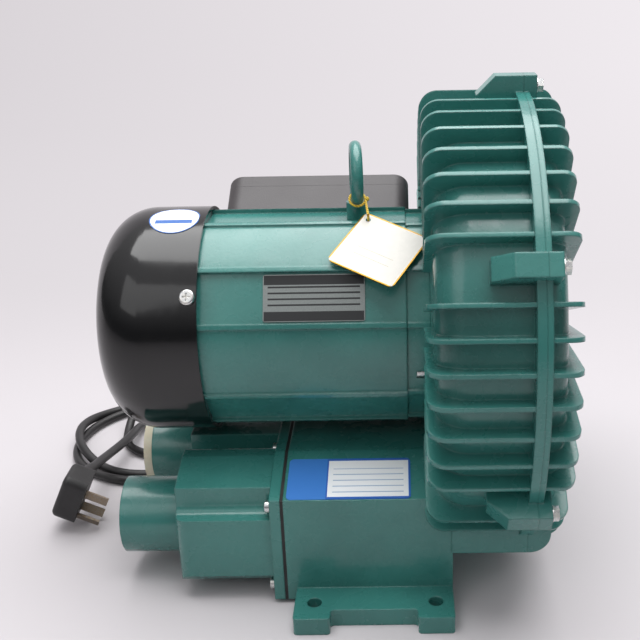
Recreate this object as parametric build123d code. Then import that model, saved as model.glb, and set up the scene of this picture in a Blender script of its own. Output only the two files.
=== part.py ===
from build123d import *
from math import atan2, cos, degrees, radians, sin, sqrt, tan
import os

# Side channel blower, millimetres.  X runs along the shaft towards the front cover, Z is up.
# The origin is the centre of the four foot holes on the floor.  Round pieces are modelled
# about the X axis and lifted to the shaft height at the end.

# ---- heights and stations along the shaft ----
SHAFT_H = 167.5
COVER_END_X = -178.0
COVER_RIM_X = -107.5
MOTOR_REAR_X = -109.0
MOTOR_FRONT_X = 24.0
CASE_BACK_X = 38.0
FIN_LEFT_X = 33.0
PARTING_X = 99.0

# ---- clearances ----
RUN_GAP = 0.5
FIT_GAP = 0.05
HOLE_GAP = 0.4
SEAT_GAP = 0.3

# ---- side channel and impeller ----
IMPELLER_R = 125.2
CUP_R = 16.0
CUP_WALL = 3.2
CHANNEL_PITCH_R = IMPELLER_R - CUP_R - CUP_WALL
CHANNEL_R = CUP_R + 5.0
IMPELLER_FACE_X = 65.5
IMPELLER_T = 27.0
BLADE_COUNT = 40
BLADE_T = 2.2
IMPELLER_HUB_R = 24.0
WEB_T = 6.0
WEB_SET_BACK = 3.0
STRIPPER_HALF_ANGLE = 34.0
HUB_SPACE_R = 78.0
CASE_BACK_WALL = 8.0

# ---- casing ring ----
CASE_RIM_WALL = 14.8
CASE_R = IMPELLER_R + 2 * RUN_GAP + CASE_RIM_WALL
CASE_SHOULDER = 20.0
FIN_COUNT = 48
FIN_HEIGHT = 10.0
FIN_R = CASE_R + FIN_HEIGHT
FIN_T = 2.8
FIN_CORNER = 12.0
FIN_INNER_R = 92.0
FLANGE_R = FIN_R + 1.0
FLANGE_T = 5.5
COVER_FLANGE_T = 3.4
COVER_FIN_TIP_X = 121.0
COVER_FIN_CORNER = 9.0
COVER_FIN_INNER_R = 62.0
COVER_FACE_X = 114.0
COVER_HUB_R = 36.0
COVER_HUB_T = 7.0
COVER_WALL = 6.0
PLUG_THREAD_R = 6.0
PLUG_HEAD_AF = 12.0
PLUG_HEAD_T = 5.0
BOSS_R = FLANGE_R + 10.0
BOSS_W = 14.0
BOSS_BACK = 30.0
BOSS_SLOPE = 12.0
BOSS_FRONT = 8.3
BOSS_ANGLES = (90, 30, -30, -150, 150)
BOLT_REACH = 13.0
BOLT_D = 5.0
BOLT_HEAD_AF = 8.0
BOLT_HEAD_T = 3.5
WASHER_T = 1.0
WASHER_D = 10.0
CHIN_Y = 98.0
CHIN_WALL = 4.3
CHIN_Z = SHAFT_H - IMPELLER_R - CHIN_WALL
LOW_BOSS_DROP = 14.0

# ---- motor ----
MOTOR_R = 72.5
MOTOR_BORE_R = 62.0
CORE_BACK = 6.0
WINDING_GAP = 4.0
FLAT_R = 69.0
FLAT_HALF_W = 16.5
FLAT_ANGLES = (30, 90, 150, -142, -90, -38)
RIB_R = 74.0
RIB_T = 3.5
NECK_STEP = 1.5
SHELL_SCREW_R = 67.0
SHELL_SCREW_D = 5.0
STATOR_X0 = -84.0
STATOR_X1 = -8.0
STATOR_SLOTS = 24
AIR_GAP = 0.5
ROTOR_R = 39.8
SHIELD_T = 10.0
SPIGOT_L = 6.0
SPIGOT_WALL = 13.0
HUB_WALL = 6.0
NECK_BOLT_R = 52.0
NECK_BOLT_D = 6.0
NECK_BOLT_AF = 10.0
SHELL_SCREW_REACH = 12.0
SHELL_SCREW_HEAD_R = 4.2
SHELL_SCREW_HEAD_T = 5.0
REAR_SCREW_ANGLES = (60, 120, -60, -120)
FRONT_SCREW_ANGLES = (60, 120, -12, -168)
NECK_BOLT_ANGLES = (45, 135, -45, -135)
END_TURN_REAR = 15.0
END_TURN_FRONT = 11.0

# ---- shaft and bearings: bore, outer diameter, width, ball diameter, ball count ----
REAR_BEARING = (20.0, 47.0, 14.0, 7.9, 8)
FRONT_BEARING = (25.0, 52.0, 15.0, 7.9, 9)
ROTOR_SEAT_R = 14.0
FAN_SEAT_R = 7.0
IMPELLER_SEAT_R = 11.0
THREAD_R = 7.0
SEAL_D = 42.0
SEAL_T = 8.0
SEAL_SET_IN = 1.5
SEAL_TRACK = 0.1
WASHER_PLATE_T = 2.0
IMPELLER_WASHER_R = 15.0
IMPELLER_NUT_AF = 22.0
IMPELLER_NUT_T = 9.0
KEY_W = 6.0
KEY_H = 6.0

# ---- cooling fan and its cover ----
FAN_COVER_R = 76.5
FAN_COVER_WALL = 2.2
FAN_COVER_CORNER = 33.0
FAN_R = 64.0
FAN_HUB_R = 16.0
FAN_PLATE_T = 3.0
FAN_BLADE_T = 2.4
FAN_CLIP_T = 1.5
FAN_BLADES = 9
FAN_X0 = -155.0
FAN_X1 = -134.0
GRILLE_SLOTS = 20
GRILLE_R = 38.0
GRILLE_INNER_R = 14.0
GRILLE_SLOT_W = 3.2
COVER_SCREW_X = -113.0
COVER_SCREW_ANGLES = (30, 150, -90)
COVER_SCREW_R = 2.5
COVER_SCREW_HEAD_R = 5.0
COVER_SCREW_HEAD_T = 3.0
COVER_SCREW_L = 12.0

# ---- eye bolt, plates and labels ----
EYE_X = -9.0
EYE_WIRE_D = 8.0
EYE_COLLAR_R = 7.0
EYE_TURN = 4.5
EYE_OUTER_D = 45.0
EYE_TOP = 121.0
PLATE_L = 64.0
PLATE_W = 30.0
PLATE_T = 0.8
PLATE_MID_X = -35.0
PLATE_ANGLE = 30.0
LABEL_T = 0.4
BASE_LABEL_L = 80.0
BASE_LABEL_W = 36.5
BASE_LABEL_X = -16.0
BASE_LABEL_DOWN = 3.6
STICKER_R = 16.5
STICKER_ANGLE = 78.0
STICKER_FROM_SCREW = 14.5

# ---- terminal box ----
TBOX_X0 = -107.0
TBOX_X1 = 26.0
TBOX_ANGLE = 150.0
TBOX_W = 56.0
TBOX_TOP_R = 112.0
TBOX_WALL = 2.5
TBOX_CORNER = 11.0
LID_T = 12.0
LID_SKIRT_WALL = 3.0
TBOX_CLEAR = 0.6
TBOX_FLOOR_R = RIB_R + TBOX_CLEAR
TBOX_JOIN_R = TBOX_TOP_R - LID_T
CAPACITOR_GAP = 1.9
CAPACITOR_D = TBOX_TOP_R - LID_SKIRT_WALL - TBOX_FLOOR_R - TBOX_WALL - CAPACITOR_GAP
CAPACITOR_L = 70.0
CAPACITOR_IN = 16.0
CAPACITOR_TAB = 7.0
TBOX_POST_R = 5.0
TBOX_POST_IN = 9.0
LID_SCREW_R = 1.6
LID_SCREW_HEAD_R = 3.5
WIRE_HOLE_R = 8.0
GLAND_THREAD_SHARE = 0.375
GLAND_COLLAR_T = 5.0
BLOCK_IN = 14.0
BLOCK_L = 14.0
BLOCK_W = 40.0
BLOCK_H = 12.0
BLOCK_WAYS = 4
TAG_L = 47.5
TAG_T = 0.8
TAG_AT = (5.8, -8.6)
TAG_LIFT = 2.8
TAG_HOLE_R = 1.7
TAG_TURN = -30.5
TAG_HOLE_INSET = 5.0
TAG_ANGLE = 60
TAG_CORNER = 4.0
STRING_R = 0.8
STRING_TURN = 225
STRING_RISE = 5.0
STRING_TAIL = 0.5

# ---- base, feet, silencer ----
BASE_X0 = -58.0
BASE_X1 = 51.0
BASE_Y = 97.0
BASE_TO_MOTOR = 5.0
BASE_TOP_Z = SHAFT_H - MOTOR_R - BASE_TO_MOTOR
BASE_SHOULDER_DROP = 12.0
BASE_SHOULDER_Z = BASE_TOP_Z - BASE_SHOULDER_DROP
BASE_TOP_Y = 53.0
CHIN_TOP = BASE_TOP_Z - 6.0
BASE_BOTTOM_Z = 3.0
DUCT_WALL = 6.0
DUCT_INNER_Y = 46.0
FOOT_Y = 130.0
FOOT_T = 12.0
FOOT_X0 = -52.0
FOOT_PAD_L = 23.5
FOOT_RECESS = 9.0
FOOT_HOLE_X = 39.25
FOOT_HOLE_Y = 113.0
FOOT_HOLE_D = 9.5
GASKET_T = 2.0
SILENCER_X0 = -130.0
SILENCER_FLANGE_T = 7.0
SILENCER_INSET_Y = 4.0
SILENCER_DROP = 3.0
SILENCER_FOOT_Z = 13.0
NOTCH_W = 11.0
NOTCH_Z = BASE_SHOULDER_Z - 16.7
NOTCH_FILLET = 6.0
GROOVE_Y0 = 22.0
GROOVE_Y1 = 43.0
GROOVE_DEPTH = 16.0
SILENCER_BOLT_D = 5.0
SILENCER_BOLT_HEAD_R = 4.2
SILENCER_BOLT_HEAD_T = 4.0
CHAMBER_WALL = 5.0
CHAMBER_MID_WALL = 4.0
CHAMBER_LOW_Z = 17.0
CHAMBER_TOP_Z = BASE_TOP_Z - 22.0
CHAMBER_Y = BASE_Y - SILENCER_INSET_Y - NOTCH_W - 4.0
PORT_Y = 47.7
PORT_R = 25.9
PORT_Z = PORT_R + 14.1
PORT_BORE_R = 22.0
PORT_MOUTH_X = -172.0
PORT_RING_T = 6.0
PORT_RING_WALL = 2.0
PORT_RING_SLEEVE = 12.0

# ---- power cord ----
CORD_D = 7.2
COIL_X = -195.0
COIL_Y = 130.0
COIL_R_IN = 56.0
COIL_R_OUT = 78.5
COIL_H = 8.0
PLUG_AT = (-222.2, 2.0, 18.4)
PLUG_LEAN = 25.0
PLUG_DEPTH = 18.0
PLUG_W = 28.0
PLUG_LOW = 12.0
PLUG_HIGH = 24.0
PIN_L = 17.0
PIN_W = 6.4
PIN_T = 1.6
PLUG_CORNER = 6.0
PLUG_FACE_CORNER = 4.0
EARTH_UP = 8.0
LIVE_DOWN = 7.0
LIVE_APART = 6.8
LIVE_SLOPE = 30.0
GLAND_L = 21.0
GLAND_D = (TBOX_JOIN_R - TBOX_FLOOR_R) * 0.63
GLAND_R = (TBOX_JOIN_R + TBOX_FLOOR_R) / 2 + 0.7
# the lead from the gland to the coil, and from the coil to the plug
GLAND_Y = -GLAND_R * cos(radians(TBOX_ANGLE))
GLAND_Z = SHAFT_H + GLAND_R * sin(radians(TBOX_ANGLE))
LEAD_ROUTE = [(TBOX_X0 - GLAND_L, GLAND_Y, GLAND_Z), (-151, GLAND_Y, GLAND_Z), (-169.5, 82, 206),
              (-187, 95, 189), (-200, 114, 166), (-207, 134, 138), (-212, 153, 108),
              (-216, 168, 81), (-219, 178, 57.5), (-221, 174.7, 34), (-223, 160.5, 14.5),
              (-224.5, 139, 4), (-219, 118, 4), (-203.5, 104, 4), (-182, 100.5, 4), (-160, 100, 4),
              (-142.8, 107, 4)]
TAIL_ROUTE = [(-151, 171, 4), (-171, 168, 4), (-189, 156, 4.4), (-200, 138, 9), (-209, 118, 14.6),
              (-216.5, 98, 16), (-220.5, 76, 19.5), (-222.5, 54, 25), (-223.5, 34, 29.5)]


# ---------------------------------------------------------------- helpers
def cyl_x(radius, x0, x1, y=0.0, z=0.0):
    """A cylinder along X."""
    return Pos((x0 + x1) / 2, y, z) * Rot(0, 90, 0) * Cylinder(radius, x1 - x0)


def tube_x(outer, inner, x0, x1, y=0.0, z=0.0):
    """A tube along X."""
    return cyl_x(outer, x0, x1, y, z) - cyl_x(inner, x0 - 1, x1 + 1, y, z)


def block(x0, x1, y0, y1, z0, z1):
    """A box given by its limits."""
    return Pos((x0 + x1) / 2, (y0 + y1) / 2, (z0 + z1) / 2) * Box(x1 - x0, y1 - y0, z1 - z0)


def around(angle):
    """Turn a feature made upwards to an angle seen from the near side, up positive."""
    return Rot(90 - angle, 0, 0)


def ring_torus(pitch, radius, x):
    """A torus about the X axis."""
    return Pos(x, 0, 0) * Rot(0, 90, 0) * Torus(pitch, radius)


def lifted(shape):
    """Raise a piece made about the X axis to the shaft."""
    return Pos(0, 0, SHAFT_H) * shape


def joined(first, others):
    """Fuse a list of solids to a first one."""
    return first + others if others else first


def cut(first, others):
    """Cut a list of solids from a first one."""
    return first - others if others else first


def hex_x(across, x0, x1, y=0.0, z=0.0):
    """A hexagonal prism along X."""
    sketch = Plane.YZ.offset(x0) * RegularPolygon(across / sqrt(3), 6)
    return Pos(0, y, z) * extrude(sketch, x1 - x0)


# ---------------------------------------------------------------- casing
def fin_plate(x0, x1, corner_at_left):
    """One cooling fin standing upwards, its free corner rounded."""
    inner = FIN_INNER_R if corner_at_left else COVER_FIN_INNER_R
    mid = (x0 + x1) / 2
    plate = block(x0, x1, -FIN_T / 2, FIN_T / 2, inner, FIN_R)
    free = [e for e in plate.edges().filter_by(Axis.Y) if e.center().Z > FIN_R - 1]
    side = [e for e in free if (e.center().X < mid) == corner_at_left]
    return fillet(side, FIN_CORNER if corner_at_left else COVER_FIN_CORNER)


def fin_angles():
    """Even spacing, no fin where a boss stands."""
    step = 360.0 / FIN_COUNT
    every = [-180 + step * (i + 1) for i in range(FIN_COUNT)]
    return [a for a in every if all(abs((a - b + 180) % 360 - 180) > 1 for b in BOSS_ANGLES)]


def boss(x0, x1, taper):
    """A bolt boss standing upwards, its back end sloped."""
    slope = BOSS_SLOPE if taper else 0.0
    shoulder = [(x0, BOSS_R - slope)] if taper else []
    outline = Polyline((x0, CASE_R - 6), *shoulder, (x0 + slope, BOSS_R), (x1, BOSS_R), (x1, CASE_R - 6),
                       close=True)
    return extrude(Plane.XZ * make_face(outline), BOSS_W / 2, both=True)


def bolt_radius():
    return BOSS_R - BOSS_W / 2


def low_bolt_z():
    """Height of the lowest bolt, counted from the shaft."""
    return CHIN_Z - SHAFT_H - LOW_BOSS_DROP / 2


def bolt_places():
    """Casing bolt centres (y, z) about the shaft."""
    r = bolt_radius()
    places = [(-r * cos(radians(a)), r * sin(radians(a))) for a in BOSS_ANGLES]
    return places + [(0.0, low_bolt_z())]


def low_boss(x0, x1):
    """The boss of the lowest bolt, below the casing's flat bottom."""
    top = CHIN_Z - SHAFT_H
    return block(x0, x1, -BOSS_W / 2, BOSS_W / 2, top - LOW_BOSS_DROP, top + 4)


def below_chin():
    """What the flat bottom of the casing takes off the ring."""
    return block(BASE_X1, 140, -200, 200, -200, CHIN_Z - SHAFT_H)


def duct_face(x, y_side):
    """The duct's outline in one half of the base, its corners kept clear of the silencer's bolts."""
    y_in, y_out = DUCT_WALL * 0.7, BASE_Y - DUCT_WALL
    top, low = BASE_TOP_Z - 16, BASE_BOTTOM_Z + DUCT_WALL
    points = [(y_in, low), (y_out - 15, low), (y_out, low + 11), (y_out, top - 18), (y_out - 16, top),
              (y_in, top)]
    return Plane.YZ.offset(x) * make_face(Polyline(*[(y_side * y, z) for y, z in points], close=True))


def base_outline():
    half = [(BASE_Y, BASE_BOTTOM_Z), (BASE_Y, BASE_SHOULDER_Z), (BASE_TOP_Y, BASE_TOP_Z)]
    return half + [(-y, z) for y, z in reversed(half)]


def foot_plate(side):
    """One foot rail with its two pads and the recess between them."""
    y0, y1 = BASE_Y - 8, FOOT_Y
    plate = block(FOOT_X0, BASE_X1, y0, y1, 0, FOOT_T)
    recess = block(FOOT_X0 + FOOT_PAD_L, BASE_X1 - FOOT_PAD_L, y1 - FOOT_RECESS, y1 + 1, -1, FOOT_T + 1)
    plate = plate - recess
    upright = [e for e in plate.edges().filter_by(Axis.Z) if e.center().Y > y1 - FOOT_RECESS - 1]
    plate = fillet(upright, 2.5)
    holes = [Pos(s * FOOT_HOLE_X, FOOT_HOLE_Y, FOOT_T / 2) * Cylinder(FOOT_HOLE_D / 2, 4 * FOOT_T)
             for s in (-1, 1)]
    plate = cut(plate, holes)
    return plate if side > 0 else mirror(plate, Plane.XZ)


def channel_cut():
    """The side channel: a round groove about the shaft, closed by the stripper at the bottom."""
    wide = ring_torus(CHANNEL_PITCH_R, CHANNEL_R, IMPELLER_FACE_X - RUN_GAP)
    reach = CASE_R + 20
    half = STRIPPER_HALF_ANGLE
    wedge_face = make_face(Polyline((0, 0), (reach * tan(radians(half)), -reach),
                                    (-reach * tan(radians(half)), -reach), close=True))
    wedge = extrude(Plane.YZ * wedge_face, 300, both=True)
    return wide - wedge


def casing_base():
    """Motor side of the casing, cast in one with the ducted base and its feet."""
    land_x = IMPELLER_FACE_X - RUN_GAP
    drum = cyl_x(CASE_R, CASE_BACK_X, PARTING_X)
    drum = fillet(drum.edges().group_by(Axis.X)[0], CASE_SHOULDER)
    flange = cyl_x(FLANGE_R, PARTING_X - FLANGE_T, PARTING_X)
    fin = fin_plate(FIN_LEFT_X, PARTING_X - FLANGE_T / 2, True)
    fins = [around(a) * fin for a in fin_angles()]
    pad = boss(PARTING_X - BOSS_BACK, PARTING_X, True)
    bosses = [around(a) * pad for a in BOSS_ANGLES]
    ring = drum + flange + fins + bosses
    ring = ring - below_chin()
    chin = block(BASE_X1 - 1, PARTING_X, -CHIN_Y, CHIN_Y, CHIN_Z - SHAFT_H, CHIN_TOP - SHAFT_H)
    ring = ring + chin + low_boss(PARTING_X - BOSS_BACK, PARTING_X)
    body = lifted(ring)
    shell = extrude(Plane.YZ.offset(BASE_X0) * make_face(Polyline(*base_outline(), close=True)),
                    BASE_X1 - BASE_X0)
    body = body + shell + foot_plate(1) + foot_plate(-1)
    # the rotating space, the channel, the hub space and the seal seat
    chamber = cyl_x(IMPELLER_R + 2 * RUN_GAP, land_x, PARTING_X + 1)
    hub_space = cyl_x(HUB_SPACE_R, CASE_BACK_X + CASE_BACK_WALL, PARTING_X)
    seal_seat = cyl_x(SEAL_D / 2, CASE_BACK_X - 10, PARTING_X)
    neck_seat = cyl_x(MOTOR_BORE_R - NECK_STEP, FIN_LEFT_X - 5, CASE_BACK_X + 1.0)
    bolts = [cyl_x(BOLT_D / 2, PARTING_X - BOLT_REACH - 1, PARTING_X + 1, y, z) for y, z in bolt_places()]
    body = cut(body, [lifted(s) for s in [chamber, hub_space, seal_seat, neck_seat, channel_cut()] + bolts])
    ducts = []
    for side in (-1, 1):
        ducts.append(extrude(duct_face(BASE_X0 - 1, side), CASE_BACK_X + CASE_BACK_WALL - BASE_X0))
        y0, y1 = sorted((side * DUCT_INNER_Y, side * (BASE_Y - DUCT_WALL)))
        ducts.append(block(CASE_BACK_X, land_x - 2, y0, y1, CHIN_Z + DUCT_WALL, BASE_SHOULDER_Z - 6))
    flange_holes = [lifted(cyl_x(NECK_BOLT_D / 2, CASE_BACK_X - 6, CASE_BACK_X + CASE_BACK_WALL + 1, y, z))
                    for y, z in neck_bolt_places()]
    gasket_holes = [cyl_x(SILENCER_BOLT_D / 2, BASE_X0 - 1, BASE_X0 + 14, y, z)
                    for y, z in silencer_bolt_places()]
    return cut(body, ducts + flange_holes + gasket_holes)


def front_cover():
    """The front half of the casing, with its own fins, bosses and lower lip."""
    disc = cyl_x(CASE_R, PARTING_X, COVER_FACE_X)
    disc = fillet(disc.edges().group_by(Axis.X)[-1], (COVER_FACE_X - PARTING_X) * 0.8)
    hub = cyl_x(COVER_HUB_R, COVER_FACE_X - 1, COVER_FACE_X + COVER_HUB_T)
    hub = fillet(hub.edges().group_by(Axis.X)[-1], 3)
    flange = cyl_x(FLANGE_R, PARTING_X, PARTING_X + COVER_FLANGE_T)
    fin = fin_plate(PARTING_X + COVER_FLANGE_T / 2, COVER_FIN_TIP_X, False)
    fins = [around(a) * fin for a in fin_angles()]
    pad = boss(PARTING_X, PARTING_X + BOSS_FRONT, False)
    bosses = [around(a) * pad for a in BOSS_ANGLES]
    cover = disc + hub + flange + fins + bosses
    cover = cover - below_chin()
    lip = block(PARTING_X, COVER_FACE_X, -CHIN_Y, CHIN_Y, CHIN_Z - SHAFT_H, CHIN_TOP - SHAFT_H)
    corner = [e for e in lip.edges().filter_by(Axis.Y)
              if e.center().X > COVER_FACE_X - 1 and e.center().Z < CHIN_Z - SHAFT_H + 1]
    lip = fillet(corner, (COVER_FACE_X - PARTING_X) * 0.9)
    cover = cover + lip + low_boss(PARTING_X, PARTING_X + BOSS_FRONT)
    recess = cyl_x(IMPELLER_R - 8, PARTING_X - 1, COVER_FACE_X - COVER_WALL)
    nut_space = cyl_x(COVER_HUB_R - COVER_WALL, PARTING_X, COVER_FACE_X + COVER_HUB_T - COVER_WALL * 0.7)
    plug_hole = cyl_x(PLUG_THREAD_R, PARTING_X, COVER_FACE_X + COVER_HUB_T + 1)
    bolts = [cyl_x(BOLT_D / 2 + HOLE_GAP, PARTING_X - 1, PARTING_X + BOSS_FRONT + 6, y, z)
             for y, z in bolt_places()]
    return lifted(cut(cover, [recess, nut_space, plug_hole] + bolts))


def casing_bolts():
    """Hexagon bolts, head against its washer."""
    face = PARTING_X + BOSS_FRONT + WASHER_T
    tip = PARTING_X - BOLT_REACH
    made = []
    for y, z in bolt_places():
        head = hex_x(BOLT_HEAD_AF, face, face + BOLT_HEAD_T, y, z)
        made.append(cyl_x(BOLT_D / 2, tip, face, y, z) + head)
    return [lifted(m) for m in made]


def casing_washers():
    face = PARTING_X + BOSS_FRONT
    return [lifted(tube_x(WASHER_D / 2, BOLT_D / 2 + HOLE_GAP / 2, face, face + WASHER_T, y, z))
            for y, z in bolt_places()]


def cover_plug():
    """Threaded plug over the puller hole in the middle of the front cover."""
    face = COVER_FACE_X + COVER_HUB_T
    plug = cyl_x(PLUG_THREAD_R, face - COVER_WALL * 0.7, face) + hex_x(PLUG_HEAD_AF, face, face + PLUG_HEAD_T)
    return lifted(plug)


def shaft_seal():
    x0 = CASE_BACK_X + SEAL_SET_IN
    return lifted(tube_x(SEAL_D / 2, FRONT_BEARING[0] / 2 - SEAL_TRACK + FIT_GAP, x0, x0 + SEAL_T))


# ---------------------------------------------------------------- impeller and shaft
def impeller():
    """Open half-torus cup with radial blades, on a web and a keyed hub."""
    x0 = IMPELLER_FACE_X
    x1 = x0 + IMPELLER_T
    inner = CHANNEL_PITCH_R - CUP_R - CUP_WALL
    rim = tube_x(IMPELLER_R, inner, x0, x1)
    rim = rim - ring_torus(CHANNEL_PITCH_R, CUP_R, x0)
    blade = block(x0, x0 + CUP_R, -BLADE_T / 2, BLADE_T / 2, CHANNEL_PITCH_R - CUP_R, CHANNEL_PITCH_R + CUP_R)
    blades = [Rot(360.0 / BLADE_COUNT * i, 0, 0) * blade for i in range(BLADE_COUNT)]
    web = tube_x(inner + 1, IMPELLER_HUB_R - 1, x1 - WEB_T - WEB_SET_BACK, x1 - WEB_SET_BACK)
    hub = cyl_x(IMPELLER_HUB_R, x0 - 6, x1 + 1)
    wheel = rim + web + hub + blades
    bore = cyl_x(IMPELLER_SEAT_R, x0 - 20, x1 + 20)
    keyway = block(x0 - 20, x1 + 20, -KEY_W / 2, KEY_W / 2, 0, IMPELLER_SEAT_R + KEY_H / 2)
    return lifted(wheel - bore - keyway)


def impeller_key():
    x0 = IMPELLER_FACE_X - 4
    key = block(x0, IMPELLER_FACE_X + IMPELLER_T - 4, -KEY_W / 2, KEY_W / 2,
                IMPELLER_SEAT_R - KEY_H / 2, IMPELLER_SEAT_R + KEY_H / 2)
    return lifted(key)


def impeller_nut_face():
    return IMPELLER_FACE_X + IMPELLER_T + 1 + WASHER_PLATE_T


def impeller_washer():
    face = impeller_nut_face()
    return lifted(tube_x(IMPELLER_WASHER_R, THREAD_R + HOLE_GAP / 2, face - WASHER_PLATE_T, face))


def impeller_nut():
    face = impeller_nut_face()
    nut = hex_x(IMPELLER_NUT_AF, face, face + IMPELLER_NUT_T)
    nut = nut - cyl_x(THREAD_R, face - 1, face + 2 * IMPELLER_NUT_T)
    return lifted(nut)


def bearing_span(rear):
    """Where a bearing sits along the shaft."""
    if rear:
        x0 = MOTOR_REAR_X - SHIELD_T - 6.0
        return x0, x0 + REAR_BEARING[2]
    x1 = MOTOR_FRONT_X
    return x1 - FRONT_BEARING[2], x1


def shaft():
    rear0, rear1 = bearing_span(True)
    front0, _ = bearing_span(False)
    seat_x = IMPELLER_FACE_X - 6
    nut_seat = impeller_nut_face() - WASHER_PLATE_T
    steps = [(FAN_X0 - 6, rear0, FAN_SEAT_R), (rear0, rear1, REAR_BEARING[0] / 2),
             (rear1, front0, ROTOR_SEAT_R), (front0, seat_x, FRONT_BEARING[0] / 2),
             (seat_x, nut_seat, IMPELLER_SEAT_R),
             (nut_seat, impeller_nut_face() + IMPELLER_NUT_T + 2, THREAD_R)]
    body = cyl_x(steps[0][2], steps[0][0], steps[0][1])
    body = joined(body, [cyl_x(r, x0, x1) for x0, x1, r in steps[1:]])
    seal_x = CASE_BACK_X + SEAL_SET_IN
    track = FRONT_BEARING[0] / 2 - SEAL_TRACK
    body = body - tube_x(FRONT_BEARING[0], track, seal_x - 1, seal_x + SEAL_T + 1)
    key_x0 = IMPELLER_FACE_X - 4
    keyway = block(key_x0, IMPELLER_FACE_X + IMPELLER_T - 4, -KEY_W / 2, KEY_W / 2,
                   IMPELLER_SEAT_R - KEY_H / 2, IMPELLER_SEAT_R * 2)
    return lifted(body - keyway)


def race_pair(spec, rear):
    """Outer race, inner race, and balls with their cage."""
    bore, outer, width, ball, count = spec
    x0, x1 = bearing_span(rear)
    mid = (x0 + x1) / 2
    pitch = (bore + outer) / 4
    groove = ring_torus(pitch, ball / 2 + FIT_GAP, mid)
    outer_race = tube_x(outer / 2, pitch + ball * 0.27, x0, x1) - groove
    inner_race = tube_x(pitch - ball * 0.27, bore / 2, x0, x1) - groove
    cage = tube_x(pitch + 1.1, pitch - 1.1, mid - width * 0.36, mid + width * 0.36)
    balls = [Rot(360.0 / count * i, 0, 0) * Pos(mid, 0, pitch) * Sphere(ball / 2) for i in range(count)]
    return lifted(outer_race), lifted(inner_race), lifted(joined(cage, balls))


# ---------------------------------------------------------------- motor
def motor_section(x0, x1, inset):
    """The finned frame's outside: round sides, six recessed flats, a rib each side of a flat."""
    body = cyl_x(MOTOR_R - inset, x0, x1)
    slots = []
    ribs = []
    for angle in FLAT_ANGLES:
        slots.append(around(angle) * block(x0 - 1, x1 + 1, -FLAT_HALF_W, FLAT_HALF_W, FLAT_R - inset, 90))
        for side in (-1, 1):
            y = side * (FLAT_HALF_W + RIB_T / 2)
            height = sqrt((RIB_R - inset) ** 2 - (FLAT_HALF_W + RIB_T) ** 2) - 0.2
            ribs.append(around(angle) * block(x0, x1, y - RIB_T / 2, y + RIB_T / 2, FLAT_R - 4, height + 2.2))
    limit = cyl_x(RIB_R - inset, x0, x1)
    return joined(cut(body, slots), ribs) & limit


def shell_screw_places(angles):
    return [(-SHELL_SCREW_R * cos(radians(a)), SHELL_SCREW_R * sin(radians(a))) for a in angles]


def neck_bolt_places():
    """Bolts that hold the front shield to the casing, about the shaft."""
    return [(-NECK_BOLT_R * cos(radians(a)), NECK_BOLT_R * sin(radians(a))) for a in NECK_BOLT_ANGLES]


def motor_housing():
    frame = motor_section(MOTOR_REAR_X, MOTOR_FRONT_X - 1, 0)
    bore = cyl_x(MOTOR_BORE_R, MOTOR_REAR_X - 1, MOTOR_FRONT_X + 1)
    eye_hole = Pos(EYE_X, 0, FLAT_R - 3) * Cylinder(EYE_WIRE_D / 2, 20)
    wire_hole = around(TBOX_ANGLE) * Pos((TBOX_X0 + TBOX_X1) / 2, 0, FLAT_R) * Cylinder(WIRE_HOLE_R + 1, 30)
    rear = [cyl_x(SHELL_SCREW_D / 2, MOTOR_REAR_X - 1, MOTOR_REAR_X + SHELL_SCREW_REACH + 2, y, z)
            for y, z in shell_screw_places(REAR_SCREW_ANGLES)]
    front = [cyl_x(SHELL_SCREW_D / 2, MOTOR_FRONT_X - SHELL_SCREW_REACH - 2, MOTOR_FRONT_X + 1, y, z)
             for y, z in shell_screw_places(FRONT_SCREW_ANGLES)]
    return lifted(cut(frame, [bore, eye_hole, wire_hole] + rear + front))


def front_shield():
    """The neck between motor and casing, with the front bearing seat."""
    neck = motor_section(MOTOR_FRONT_X - 1, CASE_BACK_X, NECK_STEP)
    neck = neck & cyl_x(RIB_R, MOTOR_FRONT_X - 1, FIN_LEFT_X + 20)
    spigot_x = MOTOR_FRONT_X - 1 - SPIGOT_L
    spigot = tube_x(MOTOR_BORE_R - FIT_GAP, MOTOR_BORE_R - SPIGOT_WALL, spigot_x, MOTOR_FRONT_X)
    x0, x1 = bearing_span(False)
    hub = cyl_x(FRONT_BEARING[1] / 2 + HUB_WALL, x0, MOTOR_FRONT_X)
    shield = neck + spigot + hub
    seat = cyl_x(FRONT_BEARING[1] / 2, x0 - 1, x1)
    hole = cyl_x(FRONT_BEARING[0] / 2 + 1.5, x0, CASE_BACK_X + 5)
    screws = [cyl_x(SHELL_SCREW_D / 2 + HOLE_GAP / 2, 0, CASE_BACK_X + 1, y, z)
              + cyl_x(SHELL_SCREW_HEAD_R + HOLE_GAP, MOTOR_FRONT_X + 5, CASE_BACK_X + 1, y, z)
              for y, z in shell_screw_places(FRONT_SCREW_ANGLES)]
    bolts = [cyl_x(NECK_BOLT_D / 2, MOTOR_FRONT_X + 1, CASE_BACK_X + 1, y, z) for y, z in neck_bolt_places()]
    return lifted(cut(shield, [seat, hole] + screws + bolts))


def front_shield_screws():
    made = []
    for y, z in shell_screw_places(FRONT_SCREW_ANGLES):
        head = cyl_x(SHELL_SCREW_HEAD_R, MOTOR_FRONT_X + 5, MOTOR_FRONT_X + 5 + SHELL_SCREW_HEAD_T, y, z)
        shank = cyl_x(SHELL_SCREW_D / 2, MOTOR_FRONT_X - SHELL_SCREW_REACH, MOTOR_FRONT_X + 6, y, z)
        made.append(lifted(head + shank))
    return made


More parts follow.
